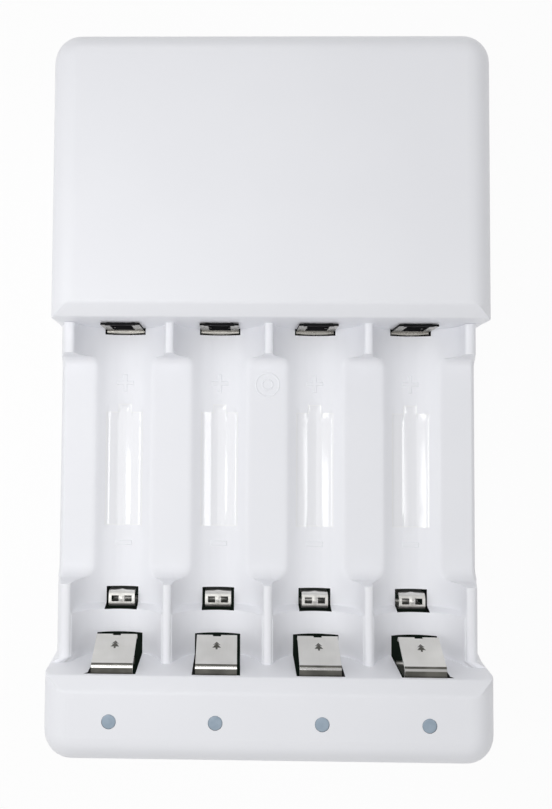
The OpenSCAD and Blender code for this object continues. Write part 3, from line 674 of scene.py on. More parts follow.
    def _joined(self, *blocks: Grid | float, width: tuple[int, ...] = ()) -> Grid:
        """Joins a value, a column or a block for each stretch of rows into one array over all rows."""
        pairs = zip(blocks, self.parts)
        return np.concatenate([np.broadcast_to(block, (count, *width)) for block, count in pairs])

    def _house_low(self) -> Grid:
        """Where the housing's rows meet the parting line: spread along the bevel, then straight below.

        Returns:
            Y of each of the housing's rows.
        """
        start = self.housing_y + self.wall_lean
        bend = np.clip((self.house - start) / self.bevel_run, 0, 1)
        return np.where(bend < 1, self.housing_y + 1 + (self.bevel_run + self.wall_lean - 1) * bend, self.house)

    def _level(self, y: Grid) -> Grid:
        """Height of the islands and ribs along Y: low islands, with ribs at both ends."""
        return self.island_z + self._rib(-y, *self.base_rib) + self._rib(y, *self.top_rib)

    def _rib(self, y: Grid, near: float, far: float, foot_r: float) -> Grid:
        """Rise of a rib along Y above the islands: a round foot, then a steep end from near to far.

        Args:
            y: distance along the rib's own way.
            near: where the steep end starts.
            far: where it has reached the full height.
            foot_r: radius of the round foot.

        Returns:
            Rise at each place.
        """
        foot = np.clip(y - near + foot_r, 0, foot_r)
        fillet = foot_r - np.sqrt(foot_r**2 - foot**2)
        return fillet + (self.rib_z - self.island_z - foot_r) * soft_ramp((y - near) / (far - near))

    def _height(self, y: Grid, dx: Grid) -> Grid:
        """Height of the bays: round troughs with a shelf past the step, cut off softly by islands and ribs.

        Args:
            y: place along the case.
            dx: distance from the bay's middle.

        Returns:
            Height at each place.
        """
        r = self.trough_r
        a = np.abs(dx)
        arc = r - np.sqrt(np.maximum(r**2 - a**2, 0)) + self.trough_wall * np.maximum(a - r, 0)
        step = soft_ramp((self.step_y - y) / self.step_lean, self.step_round)
        shelf = (self.shelf_z - self.floor_z) * step
        level = self._level(y) + 0 * a
        u = np.clip(self.half_columns[-1] - a, 0, self.rib_half) / self.rib_half
        rise = (level - self.island_z) / (self.rib_z - self.island_z)
        crest = level - self.rib_round * rise * (1 - np.sqrt(1 - u**2))
        return soft_min(self.floor_z + arc + shelf, crest, self.trough_blend) + self._marks(a, y)

    def _marks(self, a: Grid, y: Grid) -> Grid:
        """Relief of the moulded marks: sunk cell outline, raised plus and minus bars.

        Each mark is a product of a step across the bay and a step along it.

        Args:
            a: distance from the bay's middle.
            y: place along the case.

        Returns:
            Height to add at each place.
        """
        def block(half: float, low: float, high: float, edge: float) -> Grid:
            """Box as wide as twice half, from low to high along Y."""
            return box_step(a, -self.far, half, edge) * box_step(y, low, high, edge)

        body = block(*self.icon, self.icon_edge)
        nub = block(self.nub[0], self.icon[2] - 1, self.nub[1], self.icon_edge)
        bars = [block(half, middle - reach, middle + reach, self.bar_edge) for half, middle, reach in (
            (self.bar[1], self.plus_y, self.plus_half), (self.bar[0], self.plus_y, self.bar[1]),
            (self.bar[0], self.minus_y, self.minus_half))]
        return self.bar_rise * np.maximum.reduce(bars) - self.icon_sink * np.maximum(body, nub)

    def _spread(self, border: Grid) -> Grid:
        """Places the columns of every row: as laid out, then stretched from a start line to the border.

        Args:
            border: X of the border on the right, row by row.

        Returns:
            X of every point, rows by columns.
        """
        x = np.abs(self.x0)[None, :]
        start = self.bay_x[-1] + self.stretch_from[:, None]
        scale = (border[:, None] - start) / (self.reach - start)
        return np.sign(self.x0) * np.where(x > start, start + (x - start) * scale, x)

    def _outer(self) -> Grid:
        """Works out the outside: height by place in the bays, and by share of the way up on the two walls.

        Returns:
            Points of the outside, rows by columns.
        """
        x = self._spread(self.side_b)
        dx = x - np.array(self.bay_x)[self.bay]
        deck_z = self._height(self.deck[:, None], dx[self.rows[Part.DECK]])
        foot = self._height(np.array(self.base_foot_y), dx[self.rows[Part.WALL]])
        wall_z = self.long_slot[2] + (foot - self.long_slot[2]) * self.base_t[:, None]
        lean = (self.base_foot_y - self.base_top_y) / (self.wall_top_z - self.shelf_z)
        wall_y = self.base_top_y + (self.wall_top_z - wall_z) * lean
        rise, end, level = self.wall_top_z - self.floor_z, deck_z[-1:], self.level[:, None]
        squeezed = end + (self.wall_top_z - end) * ((level - self.floor_z) / rise)
        plain = np.abs(self.dx) <= self.long_slot[0]
        level_z = np.where(plain, np.maximum(level, end + 2 * self.tiny), squeezed)
        level_y = self.housing_y + self.wall_lean * (level_z - self.floor_z) / rise
        width = (len(self.x0),)
        y = self._joined(
            self.base[:, None], wall_y, self.deck[:, None], level_y, self.house[:, None], width=width)
        z = self._joined(self.base_z[:, None], wall_z, deck_z, level_z, self.house_z[:, None], width=width)
        return self._round_holes(np.stack([x, y, z], axis=-1))

    def _round_holes(self, grid: Grid) -> Grid:
        """Pulls the square of points around each light pipe onto a circle.

        Args:
            grid: points of the outside or the inside.

        Returns:
            The same grid, with round holes.
        """
        base = grid[self.rows[Part.BASE]]
        dy = base[:, :, 1] - self.lens_y
        dx = np.broadcast_to(self.dx, dy.shape)
        ring = np.isclose(np.maximum(np.abs(dx), np.abs(dy)), self.square, atol=1e-6)
        scale = np.where(ring, self.lens_r / np.maximum(np.hypot(dx, dy), 1e-9), 1)
        centre = np.array(self.bay_x)[self.bay]
        base[:, :, 0] = np.where(ring, centre + dx * scale, base[:, :, 0])
        base[:, :, 1] = np.where(ring, self.lens_y + dy * scale, base[:, :, 1])
        return grid

    def _inner(self) -> Grid:
        """Works out the inside: flat roofs under the housing, base and bays, and plain walls between.

        Returns:
            Points of the inside, rows by columns.
        """
        x = self._spread(self._inner_low()[:, 0])
        roof = self.front_z - self.wall
        in_y, wall_y = self.base_top_y - self.wall, self.housing_y + self.wall
        lens = self.lens_y + np.array([-self.lens_clear, self.lens_clear])
        base_y = np.interp(self.base, [self.base[0], *lens, self.base_top_y + self.wall_start],
                           [self.wall - self.end_y, *lens, in_y])
        base_z = np.minimum(roof, self.base_z) - self.roof_fall * (self.front_z - self.base_z)
        base_z[-1] = self.long_slot[2]
        wall_z = self.long_slot[2] + (self.under_z - self.long_slot[2]) * self.base_t
        deck_y = np.interp(self.deck, [self.base_foot_y, self.long_slot[1], self.plus_slot[1], self.housing_y],
                           [in_y, self.long_slot[1], self.plus_slot[1], wall_y])
        deep = (self.deck > self.pocket[0]) & (self.deck < self.short_slot[1] + self.tiny)
        narrow = np.abs(self.dx) < self.short_slot[0] + self.tiny
        deck_z = np.where(deep[:, None] & narrow, self.pocket[1], self.under_z)
        bevel_y = self.housing_y + self.wall_lean + self.bevel_run
        house_y = np.interp(self.house, [self.house[0], bevel_y, self.house[-1]],
                            [wall_y, self.housing_y + self.bevel_in, self.end_y - self.wall])
        house_z = np.minimum(roof, self.house_z)
        width = (len(self.x0),)
        y = self._joined(base_y[:, None], in_y, deck_y[:, None], wall_y, house_y[:, None], width=width)
        z = self._joined(
            base_z[:, None], wall_z[:, None], deck_z, self.level[:, None], house_z[:, None], width=width)
        return self._round_holes(np.stack([x, y, z], axis=-1))

    def _inner_low(self) -> Grid:
        """Plan of the inside's border on the right: the side line set in by the wall."""
        return self.fall.low - self.fall.out[:, :2] * self.wall

    def _between(self, values: Grid, part: Part) -> Grid:
        """Middles of the faces of one stretch of rows, as a column over all rows.

        Args:
            values: value of each row of the stretch.
            part: the stretch.

        Returns:
            The middles, with a far value in the rows of the other stretches.
        """
        column = np.full((sum(self.parts) - 1, 1), self.far)
        rows = self.rows[part]
        column[rows.start:rows.stop - 1, 0] = (values[:-1] + values[1:]) / 2
        return column

    def _faces(self) -> tuple[Grid, Grid]:
        """Chooses the kept faces and their finish.

        Returns:
            Mask of kept faces and array of finish marks, both rows less one by columns less one.
        """
        a = np.abs(self.dx[:-1] + self.dx[1:]) / 2
        a = np.where(np.diff(self.dx) < 0, self.half_columns[-1], a)[None, :]
        wall = self.rows[Part.WALL]
        deck_y, level_z = self._between(self.deck, Part.DECK), self._between(self.level, Part.LEVEL)
        deck_y[wall.stop - 1] = self.base_foot_y
        row = np.arange(len(deck_y))[:, None]
        base_wall = (row >= wall.start - 1) & (row < wall.stop)
        slots = (
            (np.abs(self._between(self.base, Part.BASE) - self.lens_y) < self.square, self.square),
            (base_wall | (deck_y < self.long_slot[1]), self.long_slot[0]),
            ((deck_y > self.short_slot[1]) & (deck_y < self.short_slot[2]), self.short_slot[0]),
            ((deck_y > self.plus_slot[1]) & (deck_y < self.housing_y), self.plus_slot[0]),
            ((level_z > self.window[1]) & (level_z < self.window[2]), self.window[0]),
        )
        holes = np.logical_or.reduce([place & (a < half) for place, half in slots])
        whole, middle = (self._icon(a, deck_y, grow) for grow in (self.icon_edge / 2, -self.icon_edge / 2))
        # The band round the cell outline gets a lighter finish: painted highlight.
        mark = np.where(whole, Face.ICON_EDGE_HIGHLIGHT.value, Face.OUTSIDE.value)
        return ~holes, np.where(middle, Face.POLISHED.value, mark)

    def _icon(self, a: Grid, y: Grid, grow: float) -> Grid:
        """Which faces lie in the cell outline, grown by a margin."""
        body = (y > self.icon[1] - grow) & (y < self.icon[2] + grow) & (a < self.icon[0] + grow)
        return body | ((y > self.icon[1]) & (y < self.nub[1] + grow) & (a < self.nub[0] + grow))

    @staticmethod
    def _loop(n: Grid) -> Grid:
        """Border of a grid as one closed loop: base row, right side, housing row, left side."""
        return np.concatenate([n[0], n[1:, -1], n[-1, -2::-1], n[-2:0:-1, 0]])

    @staticmethod
    def _around(base_row: Grid, right: Grid, top_row: Grid) -> Grid:
        """Values along the border loop from those of the base row, the right side and the housing row."""
        left = right * np.array([-1] + [1] * (right.shape[1] - 1))
        return np.concatenate([base_row, right[1:], top_row[-2::-1], left[-2:0:-1]])

    def _rim(self, outer: Grid) -> list[Grid]:
        """Rings that carry the border down the sides to the parting line.

        Args:
            outer: points of the outside.

        Returns:
            Rings of points, each a closed loop.
        """
        slope = self.draft / (self.edge_z - self.split_z)
        shoulder = self.island_z - self.shoulder_drop
        count = len(self.x0)
        sides = [self.fall.rings(outer[:, -1], self.split_z, shoulder, slope)]
        for row, way in ((outer[0], -1.0), (outer[-1], 1.0)):
            low = np.stack([row[:, 0], np.full(count, way * self.end_y)], axis=1)
            fall = Fall(np.tile([0.0, way, 0.0], (count, 1)), np.tile([0.0, 0.0, 1.0], (count, 1)),
                        np.full(count, self.edge_r), np.zeros(count), low, np.zeros(count))
            sides.append(fall.rings(row, self.split_z, shoulder, slope))
        right, base, top = sides
        return [self._around(base[:, k], right[:, k], top[:, k]) for k in range(right.shape[1])]

    def _under_ring(self) -> Grid:
        """Works out the inner edge of the parting face, at the parting line's height.

        Returns:
            Points of the edge, a closed loop.
        """
        plan = self._inner()[:, :, :2]
        ring = self._around(plan[0], self._inner_low(), plan[-1])
        return np.concatenate([ring, np.full((len(ring), 1), self.split_z)], axis=1)


@dataclass
class Strip:
    """A bent metal strip: a path in Y and Z, carried across its width, with bumps and cut-outs."""

    path: Grid
    columns: Grid
    thickness: float = 0.35
    bumps: list[tuple[float, float, float, float]] = field(default_factory=list)

    def along(self) -> Grid:
        """Distance of each path point from the start."""
        step = np.hypot(*np.diff(self.path, axis=0).T)
        return np.concatenate([[0], np.cumsum(step)])

    def add_to(
        self, skin: Skin, x: float, cut: Grid | None = None, mark: Grid | int = 0, edge: int = 0,
    ) -> None:
        """Adds both faces and the edges of the strip.

        A point at width u and length s is path(s) plus normal(s) times half the thickness, raised by
        h * exp(-d^2 / w^2) at the distance d from each bump.

        Args:
            skin: mesh that is being made.
            x: middle of the strip across the case.
            cut: faces left out, or none.
            mark: finish of each face.
            edge: finish of the cut edges.
        """
        tangent = np.gradient(self.path, axis=0)
        tangent /= np.linalg.norm(tangent, axis=1)[:, None]
        normal = np.stack([-tangent[:, 1], tangent[:, 0]], axis=1)
        s, u = self.along()[:, None], self.columns[None, :]
        raise_by = np.zeros((len(self.path), len(self.columns)))
        for s0, u0, w, h in self.bumps:
            raise_by += h * np.exp(-((s - s0) ** 2 + (u - u0) ** 2) / w**2)
        sheets = []
        for half in (self.thickness / 2, -self.thickness / 2):
            off = (raise_by + half)[:, :, None]
            yz = self.path[:, None, :] + normal[:, None, :] * off
            xs = np.broadcast_to(x + self.columns, raise_by.shape)[:, :, None]
            sheets.append(skin.add(np.concatenate([xs, yz], axis=2)))
        keep = np.ones((len(self.path) - 1, len(self.columns) - 1), bool)
        if cut is not None:
            keep &= ~cut
        skin.sheet(sheets[0], keep, mark)
        skin.sheet(sheets[1], keep, mark, flip=True)
        skin.walls(sheets[0], sheets[1], keep, edge)

    def middles(self) -> tuple[Grid, Grid]:
        """Middle of every face along the strip and across it."""
        s = self.along()
        return ((s[:-1] + s[1:]) / 2)[:, None], ((self.columns[:-1] + self.columns[1:]) / 2)[None, :]


def refine(path: Grid, step: float) -> Grid:
    """Adds points to a path so that no stretch is longer than step.

    Args:
        path: points of the path, two numbers each.
        step: longest stretch.

    Returns:
        The finer path.
    """
    s = np.concatenate([[0], np.cumsum(np.hypot(*np.diff(path, axis=0).T))])
    fine = np.unique(np.concatenate([s, np.arange(0, s[-1], step)]).round(6))
    fine = fine[np.concatenate([[True], np.diff(fine) > step * 0.02])]
    return np.stack([np.interp(fine, s, path[:, 0]), np.interp(fine, s, path[:, 1])], axis=1)


@dataclass
class LongLeaf:
    """Leaf contact of the long cells, which leans out of its slot in the base."""

    index: int
    x: float
    width: float = 6.4
    tail_y: float = -45.6
    foot_z: float = 5.75
    top_z: float = 24.1
    nose_y: float = -42.2
    tip: tuple[float, float] = (-38.7, 18.1)  # along Y, height
    bend_r: float = 0.75
    shoulder_z: float = 19.35
    notch: tuple[float, float] = (0.65, 0.35)  # half width, depth
    tail: float = 1.6
    lip_r: float = 0.25
    lip: Triple = (0.8, 0.26, 0.97)  # length, its part along the leaf and square to it
    bump: Triple = (0.34, 0.5, 0.16)  # share of the leaf from its tip, width, height
    arrow_y: float = 0.75
    # Stretches of the arrow: start, end, slope, zero, least half width.
    arrow: tuple[tuple[float, ...], ...] = (
        (0.0, 0.75, 0.75, 0.0, 0.0), (0.6, 1.3, 0.85, 0.5, 0.0), (1.2, 1.65, 0.0, 0.0, 0.16),
    )
    # Dark lines and a bright line across the roll: painted shade and painted highlight of the bend.
    roll_shade_lines: tuple[tuple[float, float], ...] = ((-0.4, -0.1), (0.25, 1.6))
    roll_highlight_line: tuple[float, float] = (-0.1, 0.25)

    def build(self) -> None:
        """Carries the folded strip across its width and cuts the tail and the notch."""
        nose = np.array([self.nose_y, self.top_z])
        tip = np.array(self.tip)
        run = (tip - nose) / np.linalg.norm(tip - nose)
        size, on, over = self.lip
        lip = tip + size * np.array([run[0] * on + run[1] * over, run[1] * on - run[0] * over])
        path = rounded_path(
            [(self.tail_y, self.foot_z), (self.tail_y, self.top_z), tuple(nose), tuple(tip), tuple(lip)],
            (self.bend_r, self.bend_r, self.lip_r), 8)
        path = refine(path, step=0.12)
        w = self.width / 2
        columns = np.unique(np.concatenate([
            np.linspace(-w, w, 25), np.linspace(-1, 1, 27), [-self.tail, self.tail],
            [-self.notch[0], self.notch[0]]]).round(4))
        strip = Strip(path, columns)
        tip_s = strip.along()[np.hypot(*(path - tip).T).argmin()]
        leaf = float(np.linalg.norm(tip - nose))
        strip.bumps = [(tip_s - self.bump[0] * leaf, 0.0, *self.bump[1:])]
        s, u = strip.middles()
        narrow = (s < self.shoulder_z - self.foot_z) & (np.abs(u) > self.tail)
        notch = (s > tip_s - self.notch[1]) & (np.abs(u) < self.notch[0])
        skin = Skin()
        strip.add_to(skin, self.x, narrow | notch, self._marks(strip, tip_s, leaf))
        roll_foot(skin, (self.x, self.tail_y, self.foot_z), self.tail)
        finishes = [finish.material() for finish in (NICKEL, LEAF_SHADE_AND_ARROW, ROLL_HIGHLIGHT)]
        piece = skin.build(f"long_leaf_{self.index}", finishes, sharp=45)
        seat(piece, f"aa_leaf_{self.index}", "nickel_strip", f"aa_contact_{self.index}")

    def _marks(self, strip: Strip, tip_s: float, leaf: float) -> Grid:
        """Finish of each face: a dark double arrow on the leaf, and lines of painted shade and highlight along
        its rolled edge.

        The arrow's half width is slope * (distance from its point - zero) + least, stretch by stretch.

        Args:
            strip: strip of the leaf.
            tip_s: where the leaf's tip lies along the strip.
            leaf: length of the leaf.

        Returns:
            Finish numbers, faces along by faces across.
        """
        s, u = strip.middles()
        head = tip_s - self.bump[0] * leaf + self.arrow_y - s
        arrow = np.logical_or.reduce([
            (head > low) & (head < high) & (np.abs(u) < slope * (head - zero) + least)
            for low, high, slope, zero, least in self.arrow])
        roll = tip_s - leaf - s
        roll_shade = np.logical_or.reduce([(roll > low) & (roll < high) for low, high in self.roll_shade_lines])
        roll_highlight = (roll > self.roll_highlight_line[0]) & (roll < self.roll_highlight_line[1])
        light = np.where(roll_highlight, Metal.ROLL_HIGHLIGHT.value, Metal.PLAIN.value)
        return np.where(arrow | roll_shade, Metal.DARK.value, light)


def lathe(skin: Skin, profile: Grid, centre: Triple, axis: Axis, segments: int = 40) -> None:
    """Turns a profile of radius and height around an axis.

    A point at angle a is centre plus radius times (cos a, sin a) across the axis plus height along it.

    Args:
        skin: mesh that is being made.
        profile: radius and height of each ring.
        centre: middle of the turning.
        axis: what it turns around.
        segments: points around.
    """
    a = np.linspace(0, 2 * math.pi, segments, endpoint=False)
    r, h = profile[:, :1], profile[:, 1:] + 0 * a
    across, up = r * np.cos(a), r * np.sin(a)
    order = (across, up, h) if axis is Axis.Z else (h, across, up)
    n = skin.add(np.stack(order, axis=-1) + np.array(centre))
    for upper, lower in zip(n, n[1:]):
        skin.band(upper, lower)


def roll_foot(skin: Skin, place: Triple, half: float, r: float = 0.6, cut: float = 0.12) -> None:
    """Adds the rolled foot of a leaf: a bar along X of radius r whose ends are bevelled by cut."""
    end = np.array([[0.0, half], [r - cut, half], [r, half - cut]])
    lathe(skin, np.concatenate([end * (1, -1), end[::-1]]), place, Axis.X, 24)


@dataclass
class ShortLeaf:
    """Contact of the short cells: a folded crown with two windows and a pressed bump."""

    index: int
    x: float
    width: float = 4.3
    tail_y: float = -35.0
    foot_z: float = 5.75
    top_z: float = 12.55
    face_y: float = -32.7
    leg: float = 4.0
    bend_r: float = 0.6
    nose_r: float = 1.0
    window: tuple[float, float] = (1.2, 0.9)  # across, along
    bump_drop: float = 1.1
    bumps: tuple[tuple[float, float], ...] = ((0.42, 0.22), (0.5, 0.12))  # width, height

    def build(self) -> None:
        """Carries the folded strip across its width and cuts the two windows."""
        path = rounded_path(
            [(self.tail_y, self.foot_z), (self.tail_y, self.top_z), (self.face_y, self.top_z),
             (self.face_y, self.top_z - self.leg)], (self.bend_r, self.nose_r), 10)
        path = refine(path, step=0.1)
        w = self.width / 2
        sides = w / 2 + np.array([-0.5, 0.5]) * self.window[0]
        columns = np.unique(np.concatenate([np.linspace(-w, w, 41), -sides, sides]).round(4))
        strip = Strip(path, columns)
        along = strip.along()
        spots = ((self.tail_y + self.face_y) / 2, self.top_z), (self.face_y, self.top_z - self.bump_drop)
        middle, front = (along[np.hypot(*(path - spot).T).argmin()] for spot in spots)
        strip.bumps = [(spot, 0.0, *bump) for spot, bump in zip((middle, front), self.bumps)]
        s, u = strip.middles()
        cut = (np.abs(s - middle) < self.window[1] / 2) & (np.abs(np.abs(u) - w / 2) < self.window[0] / 2)
        skin = Skin()
        strip.add_to(skin, self.x, cut)
        roll_foot(skin, (self.x, self.tail_y, self.foot_z), w)
        piece = skin.build(f"short_leaf_{self.index}", [NICKEL.material()], sharp=45)
        seat(piece, f"aaa_leaf_{self.index}", "nickel_strip", f"aaa_contact_{self.index}")


@dataclass
class PlusPlate:
    """Contact of the positive cell ends: a plate with a window on the housing wall, a foot and a tail."""

    index: int
    x: float
    width: float = 6.3
    plate_y: float = 11.025
    foot_y: float = 10.475
    foot_z: float = 11.075
    top_z: float = 19.7
    tail_z: float = 5.1
    tail: float = 1.2
    bend_r: float = 0.26
    margin: float = 0.2
    window: Triple = (1.8, 13.0, 18.9)  # half width, bottom, top
    painted_shade_reach: float = 0.5
    tongue_y: float = 12.2
    tongue_half: float = 1.45
    tongue_rise: tuple[float, float] = (0.35, 1.3)  # of its bend, of its end
    tongue_lean: float = 0.12
    tongue_r: float = 0.25

    def build(self) -> None:
        """Carries the stepped strip across its width, cuts the window, blackens its top as painted shade, adds
        the tongue.
        """
        path = rounded_path(
            [(self.foot_y, self.tail_z), (self.foot_y, self.foot_z), (self.plate_y, self.foot_z),
             (self.plate_y, self.top_z)], (self.bend_r, self.bend_r), 4)
        path = refine(path, step=0.3)
        w = self.width / 2
        columns = np.unique(np.concatenate([
            np.linspace(-w, w, 19), [-self.tail, self.tail, -self.window[0], self.window[0]]]).round(4))
        strip = Strip(path, columns)
        _, u = strip.middles()
        y, z = ((path[:-1] + path[1:]) / 2).T[:, :, None]
        hole = (np.abs(u) < self.window[0]) & (z > self.window[1]) & (z < self.window[2])
        below = (z < self.foot_z - self.margin) & (y < self.plate_y - self.margin)
        narrow = below & (np.abs(u) > self.tail)
        skin = Skin()
        # The top over the window and the cut edges are black: painted shade.
        painted_shade_top = (z > self.window[2]) & (np.abs(u) < self.window[0] + self.painted_shade_reach)
        mark = np.where(painted_shade_top, Metal.DARK.value, Metal.PLAIN.value)
        strip.add_to(skin, self.x, hole | narrow, mark, Metal.DARK.value)
        low, (bend, end) = self.window[1], self.tongue_rise
        spring = rounded_path(
            [(self.plate_y, low), (self.tongue_y, low + bend), (self.tongue_y + self.tongue_lean, low + end)],
            (self.tongue_r,))
        tongue = Strip(refine(spring, step=0.25), np.linspace(-self.tongue_half, self.tongue_half, 9))
        # The tongue is black: painted shade.
        tongue.add_to(skin, self.x, mark=Metal.DARK.value)
        piece = skin.build(f"plus_plate_{self.index}", [DULL.material(), INSIDE_PAINTED_SHADE.material()], sharp=45)
        seat(piece, "case", "nickel_strip", f"positive_contact_{self.index}")


@dataclass
class LightPipe:
    """Light pipe: a turned rod with a soft upper edge and a collar under the front wall."""

    index: int
    x: float
    y: float = -49.9
    radius: float = 1.1
    collar: float = 1.8
    low_z: float = 9.3
    roof_z: float = 25.0
    top_z: float = 27.0
    soft: float = 0.16
    gap: float = 0.02
    dome: tuple[tuple[float, float], ...] = ((0.62, 0.03), (0.3, 0.045), (0.0, 0.05))  # radius, rise

    def build(self) -> None:
        """Turns the rod's profile: flat lower end, collar, then a crowned top."""
        edge = np.radians(np.linspace(0, 90, 6))
        r, top_z, collar_z = self.radius, self.top_z, self.roof_z - self.gap
        crown = np.stack([r - self.soft * (1 - np.cos(edge)), top_z - self.soft * (1 - np.sin(edge))], axis=1)
        top = np.array(self.dome) + (0, top_z)
        body = np.array([
            [0.0, self.low_z], [r, self.low_z], [r, self.roof_z - 1], [self.collar, self.roof_z - 1],
            [self.collar, collar_z], [r, collar_z]])
        skin = Skin()
        lathe(skin, np.concatenate([body, crown, top]), (self.x, self.y, 0.0), Axis.Z)
        piece = skin.build(f"light_pipe_end_{self.index}", [LENS.material()], sharp=50)
        seat(piece, "case", "light_pipe", f"light_pipe_{self.index}")


@dataclass
class GateMark:
    """Round moulding mark on the middle island: a low ring with a small dot."""

    x: float = 0.0
    y: float = 1.8
    z: float = 12.65
    ring: tuple[float, float] = (1.95, 0.16)  # radius, width
    dot: tuple[float, float] = (0.85, 0.14)  # radius, width
    rise: float = 0.1
    margin: float = 0.4
    sink: float = 0.02
    depth: float = 0.3

    def build(self) -> None:
        """Turns a shallow wavy profile whose rim and underside lie inside the island."""
        r = np.linspace(self.ring[0] + self.margin, 0, 90)
        wave = sum(self.rise * np.exp(-((r - middle) / width) ** 2) for middle, width in (self.ring, self.dot))
        top = np.stack([r, self.z + wave - self.sink], axis=1)
        under = np.array([[0.0, self.z - self.depth], [r[0], self.z - self.depth]])
        skin = Skin()
        lathe(skin, np.concatenate([under, top]), (self.x, self.y, 0.0), Axis.Z, 56)
        piece = skin.build("gate_mark", [WHITE.material()], sharp=60)
        seat(piece, "case", "white_plastic")


@dataclass(frozen=True)
class Dressing:
    """Finish of solids that keep their own mesh."""

    finish: Finish
    nodes: tuple[str, ...]

    def dress(self) -> None:
        """Gives each solid the finish in place of the frame's plain one."""
        for node in self.nodes:
            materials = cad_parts[node].data.materials
            materials.clear()
            materials.append(self.finish.material())
            LOG.info("%s keeps its mesh", node)


@dataclass(frozen=True)
class Lamp:
    """A soft rectangular lamp that faces the bays."""

    name: str
    place: Triple
    size: tuple[float, float]
    watts: float
    shadow: bool = True
    aim: Triple = (0, 0, 10)

    def hang(self) -> None:
        """Adds the lamp: place in millimetres, size in metres, no shadow for a fill lamp."""
        data = bpy.data.lights.new(self.name, "AREA")
        data.shape = "RECTANGLE"
        data.size, data.size_y = self.size
        data.energy = self.watts
        data.use_shadow = self.shadow
        lamp = bpy.data.objects.new(self.name, data)
        lamp.location = Vector(self.place) * MM
        way = Vector(self.aim) - Vector(self.place)
        lamp.rotation_euler = way.to_track_quat("-Z", "Y").to_euler()
        bpy.context.scene.collection.objects.link(lamp)


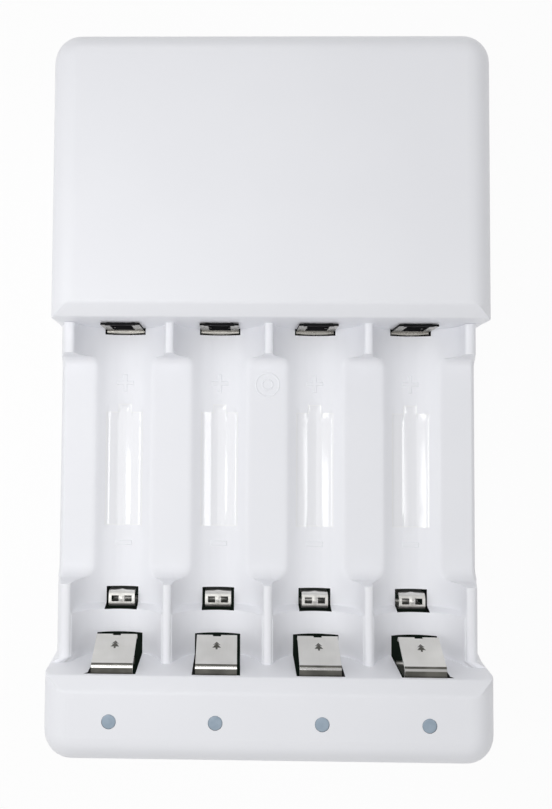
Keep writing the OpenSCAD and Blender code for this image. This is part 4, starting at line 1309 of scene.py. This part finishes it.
@dataclass
class Studio:
    """Camera, lamps, white surroundings and the pale floor."""

    eye: Triple = (-4.65, -8.18, 172.26)
    tilt: Triple = (-2.915, -1.202, -0.434)
    focal_px: float = 955.5
    centre_px: tuple[float, float] = (-56.4, -9.0)
    sensor: float = 36.0
    near_m: float = 0.005
    lamps: tuple[Lamp, ...] = (
        Lamp("key", (-75, 0, 135), (0.1, 0.2), 0.08, shadow=False),
        Lamp("back", (-60, 480, 395), (0.2, 0.2), 0.3, shadow=False),
        Lamp("front", (0, -380, 330), (0.3, 0.3), 0.19, shadow=False),
        Lamp("right_strip", (165, -28, 300), (0.07, 0.06), 0.062),
        Lamp("left_strip", (-110, -28, 300), (0.03, 0.06), 0.028),
        Lamp("far_strip", (-340, -28, 300), (0.06, 0.06), 0.055),
    )
    surroundings: float = 0.44
    floor_half: float = 1500.0
    floor_cells: int = 30
    floor_z: float = -0.05
    floor_white: float = 0.92

    def build(self) -> None:
        """Sets the view, then the camera, lights and floor."""
        bpy.context.scene.view_settings.view_transform = "Standard"
        self._camera()
        self._lights()
        self._floor()

    def _camera(self) -> None:
        """Puts the camera where the photograph was taken from, nearly straight above the bays."""
        data = bpy.data.cameras.new("view")
        data.sensor_width = self.sensor
        data.lens = self.focal_px * self.sensor / IMAGE_H
        data.shift_x, data.shift_y = -self.centre_px[0] / IMAGE_H, self.centre_px[1] / IMAGE_H
        data.clip_start = self.near_m
        camera = bpy.data.objects.new("view", data)
        turn_x, turn_y, turn_z = (math.radians(v) for v in self.tilt)
        look = Matrix.Rotation(turn_z, 3, "Z") @ Matrix.Rotation(turn_x, 3, "X")
        look = look @ Matrix.Rotation(turn_y, 3, "Y")
        camera.matrix_world = Matrix.Translation(Vector(self.eye) * MM) @ look.transposed().to_4x4()
        bpy.context.scene.collection.objects.link(camera)
        bpy.context.scene.camera = camera

    def _lights(self) -> None:
        """Hangs a key on the left and two fills without shadow, three strips, and sets white surroundings."""
        for lamp in self.lamps:
            lamp.hang()
        world = bpy.data.worlds.new("surroundings")
        world.use_nodes = True
        sky = world.node_tree.nodes["Background"]
        sky.inputs["Color"].default_value = (1, 1, 1, 1)
        sky.inputs["Strength"].default_value = self.surroundings
        bpy.context.scene.world = world

    def _floor(self) -> None:
        """Lays a pale floor under the back face that reads white and keeps a faint shadow."""
        skin = Skin()
        s = np.linspace(-self.floor_half, self.floor_half, self.floor_cells + 1)
        x, y = np.meshgrid(s, s)
        grid = np.stack([x, y, 0 * x + self.floor_z], axis=-1)
        skin.sheet(skin.add(grid), np.ones((self.floor_cells, self.floor_cells), bool))
        mat = bpy.data.materials.new("pale_floor")
        mat.use_nodes = True
        tree = mat.node_tree
        shader = tree.nodes["Principled BSDF"]
        shader.inputs["Base Color"].default_value = (0.9, 0.9, 0.9, 1)
        shader.inputs["Roughness"].default_value = 0.9
        shader.inputs["Specular IOR Level"].default_value = 0.1
        glow = tree.nodes.new("ShaderNodeEmission")
        path = tree.nodes.new("ShaderNodeLightPath")
        seen = path.outputs["Is Camera Ray"]
        for ray in ("Is Glossy Ray", "Is Transmission Ray"):
            either = tree.nodes.new("ShaderNodeMath")
            either.operation = "MAXIMUM"
            tree.links.new(seen, either.inputs[0])
            tree.links.new(path.outputs[ray], either.inputs[1])
            seen = either.outputs[0]
        part = tree.nodes.new("ShaderNodeMath")
        part.operation = "MULTIPLY"
        part.inputs[1].default_value = self.floor_white
        mix = tree.nodes.new("ShaderNodeMixShader")
        tree.links.new(seen, part.inputs[0])
        tree.links.new(part.outputs[0], mix.inputs["Fac"])
        tree.links.new(shader.outputs[0], mix.inputs[1])
        tree.links.new(glow.outputs[0], mix.inputs[2])
        tree.links.new(mix.outputs[0], tree.nodes["Material Output"].inputs["Surface"])
        skin.build("floor", [mat])


DRESSINGS = (
    Dressing(WHITE, ("back_case", "plug_barrel")),
    Dressing(BRASS, ("plug_blade_left", "plug_blade_right")),
    Dressing(STEEL, ("plug_pin", "case_screws", "board_screws")),
    Dressing(BOARD_IN_PAINTED_SHADE, ("control_board", "power_board")),
    Dressing(BLACK, ("control_chip", "link_header", "bridge_rectifier")),
    Dressing(FERRITE, ("transformer_core",)),
    Dressing(TAPE, ("transformer_winding",)),
    Dressing(SLEEVE, ("mains_capacitor", "output_capacitor")),
    Dressing(CERAMIC, ("mains_fuse",)),
    Dressing(NICKEL, ("mains_terminal_left", "mains_terminal_right")),
    Dressing(RESIN, tuple(f"indicator_lamp_{i}" for i in range(1, 5))),
)


def main() -> None:
    """Builds every piece in order."""
    logging.basicConfig(level=logging.INFO, format="%(message)s")
    Studio().build()
    case = FrontCase()
    case.build()
    for i, x in enumerate(case.bay_x, 1):
        LongLeaf(i, x).build()
        ShortLeaf(i, x).build()
        PlusPlate(i, x).build()
        LightPipe(i, x).build()
    GateMark().build()
    for dressing in DRESSINGS:
        dressing.dress()


if __name__ == "__main__":
    main()
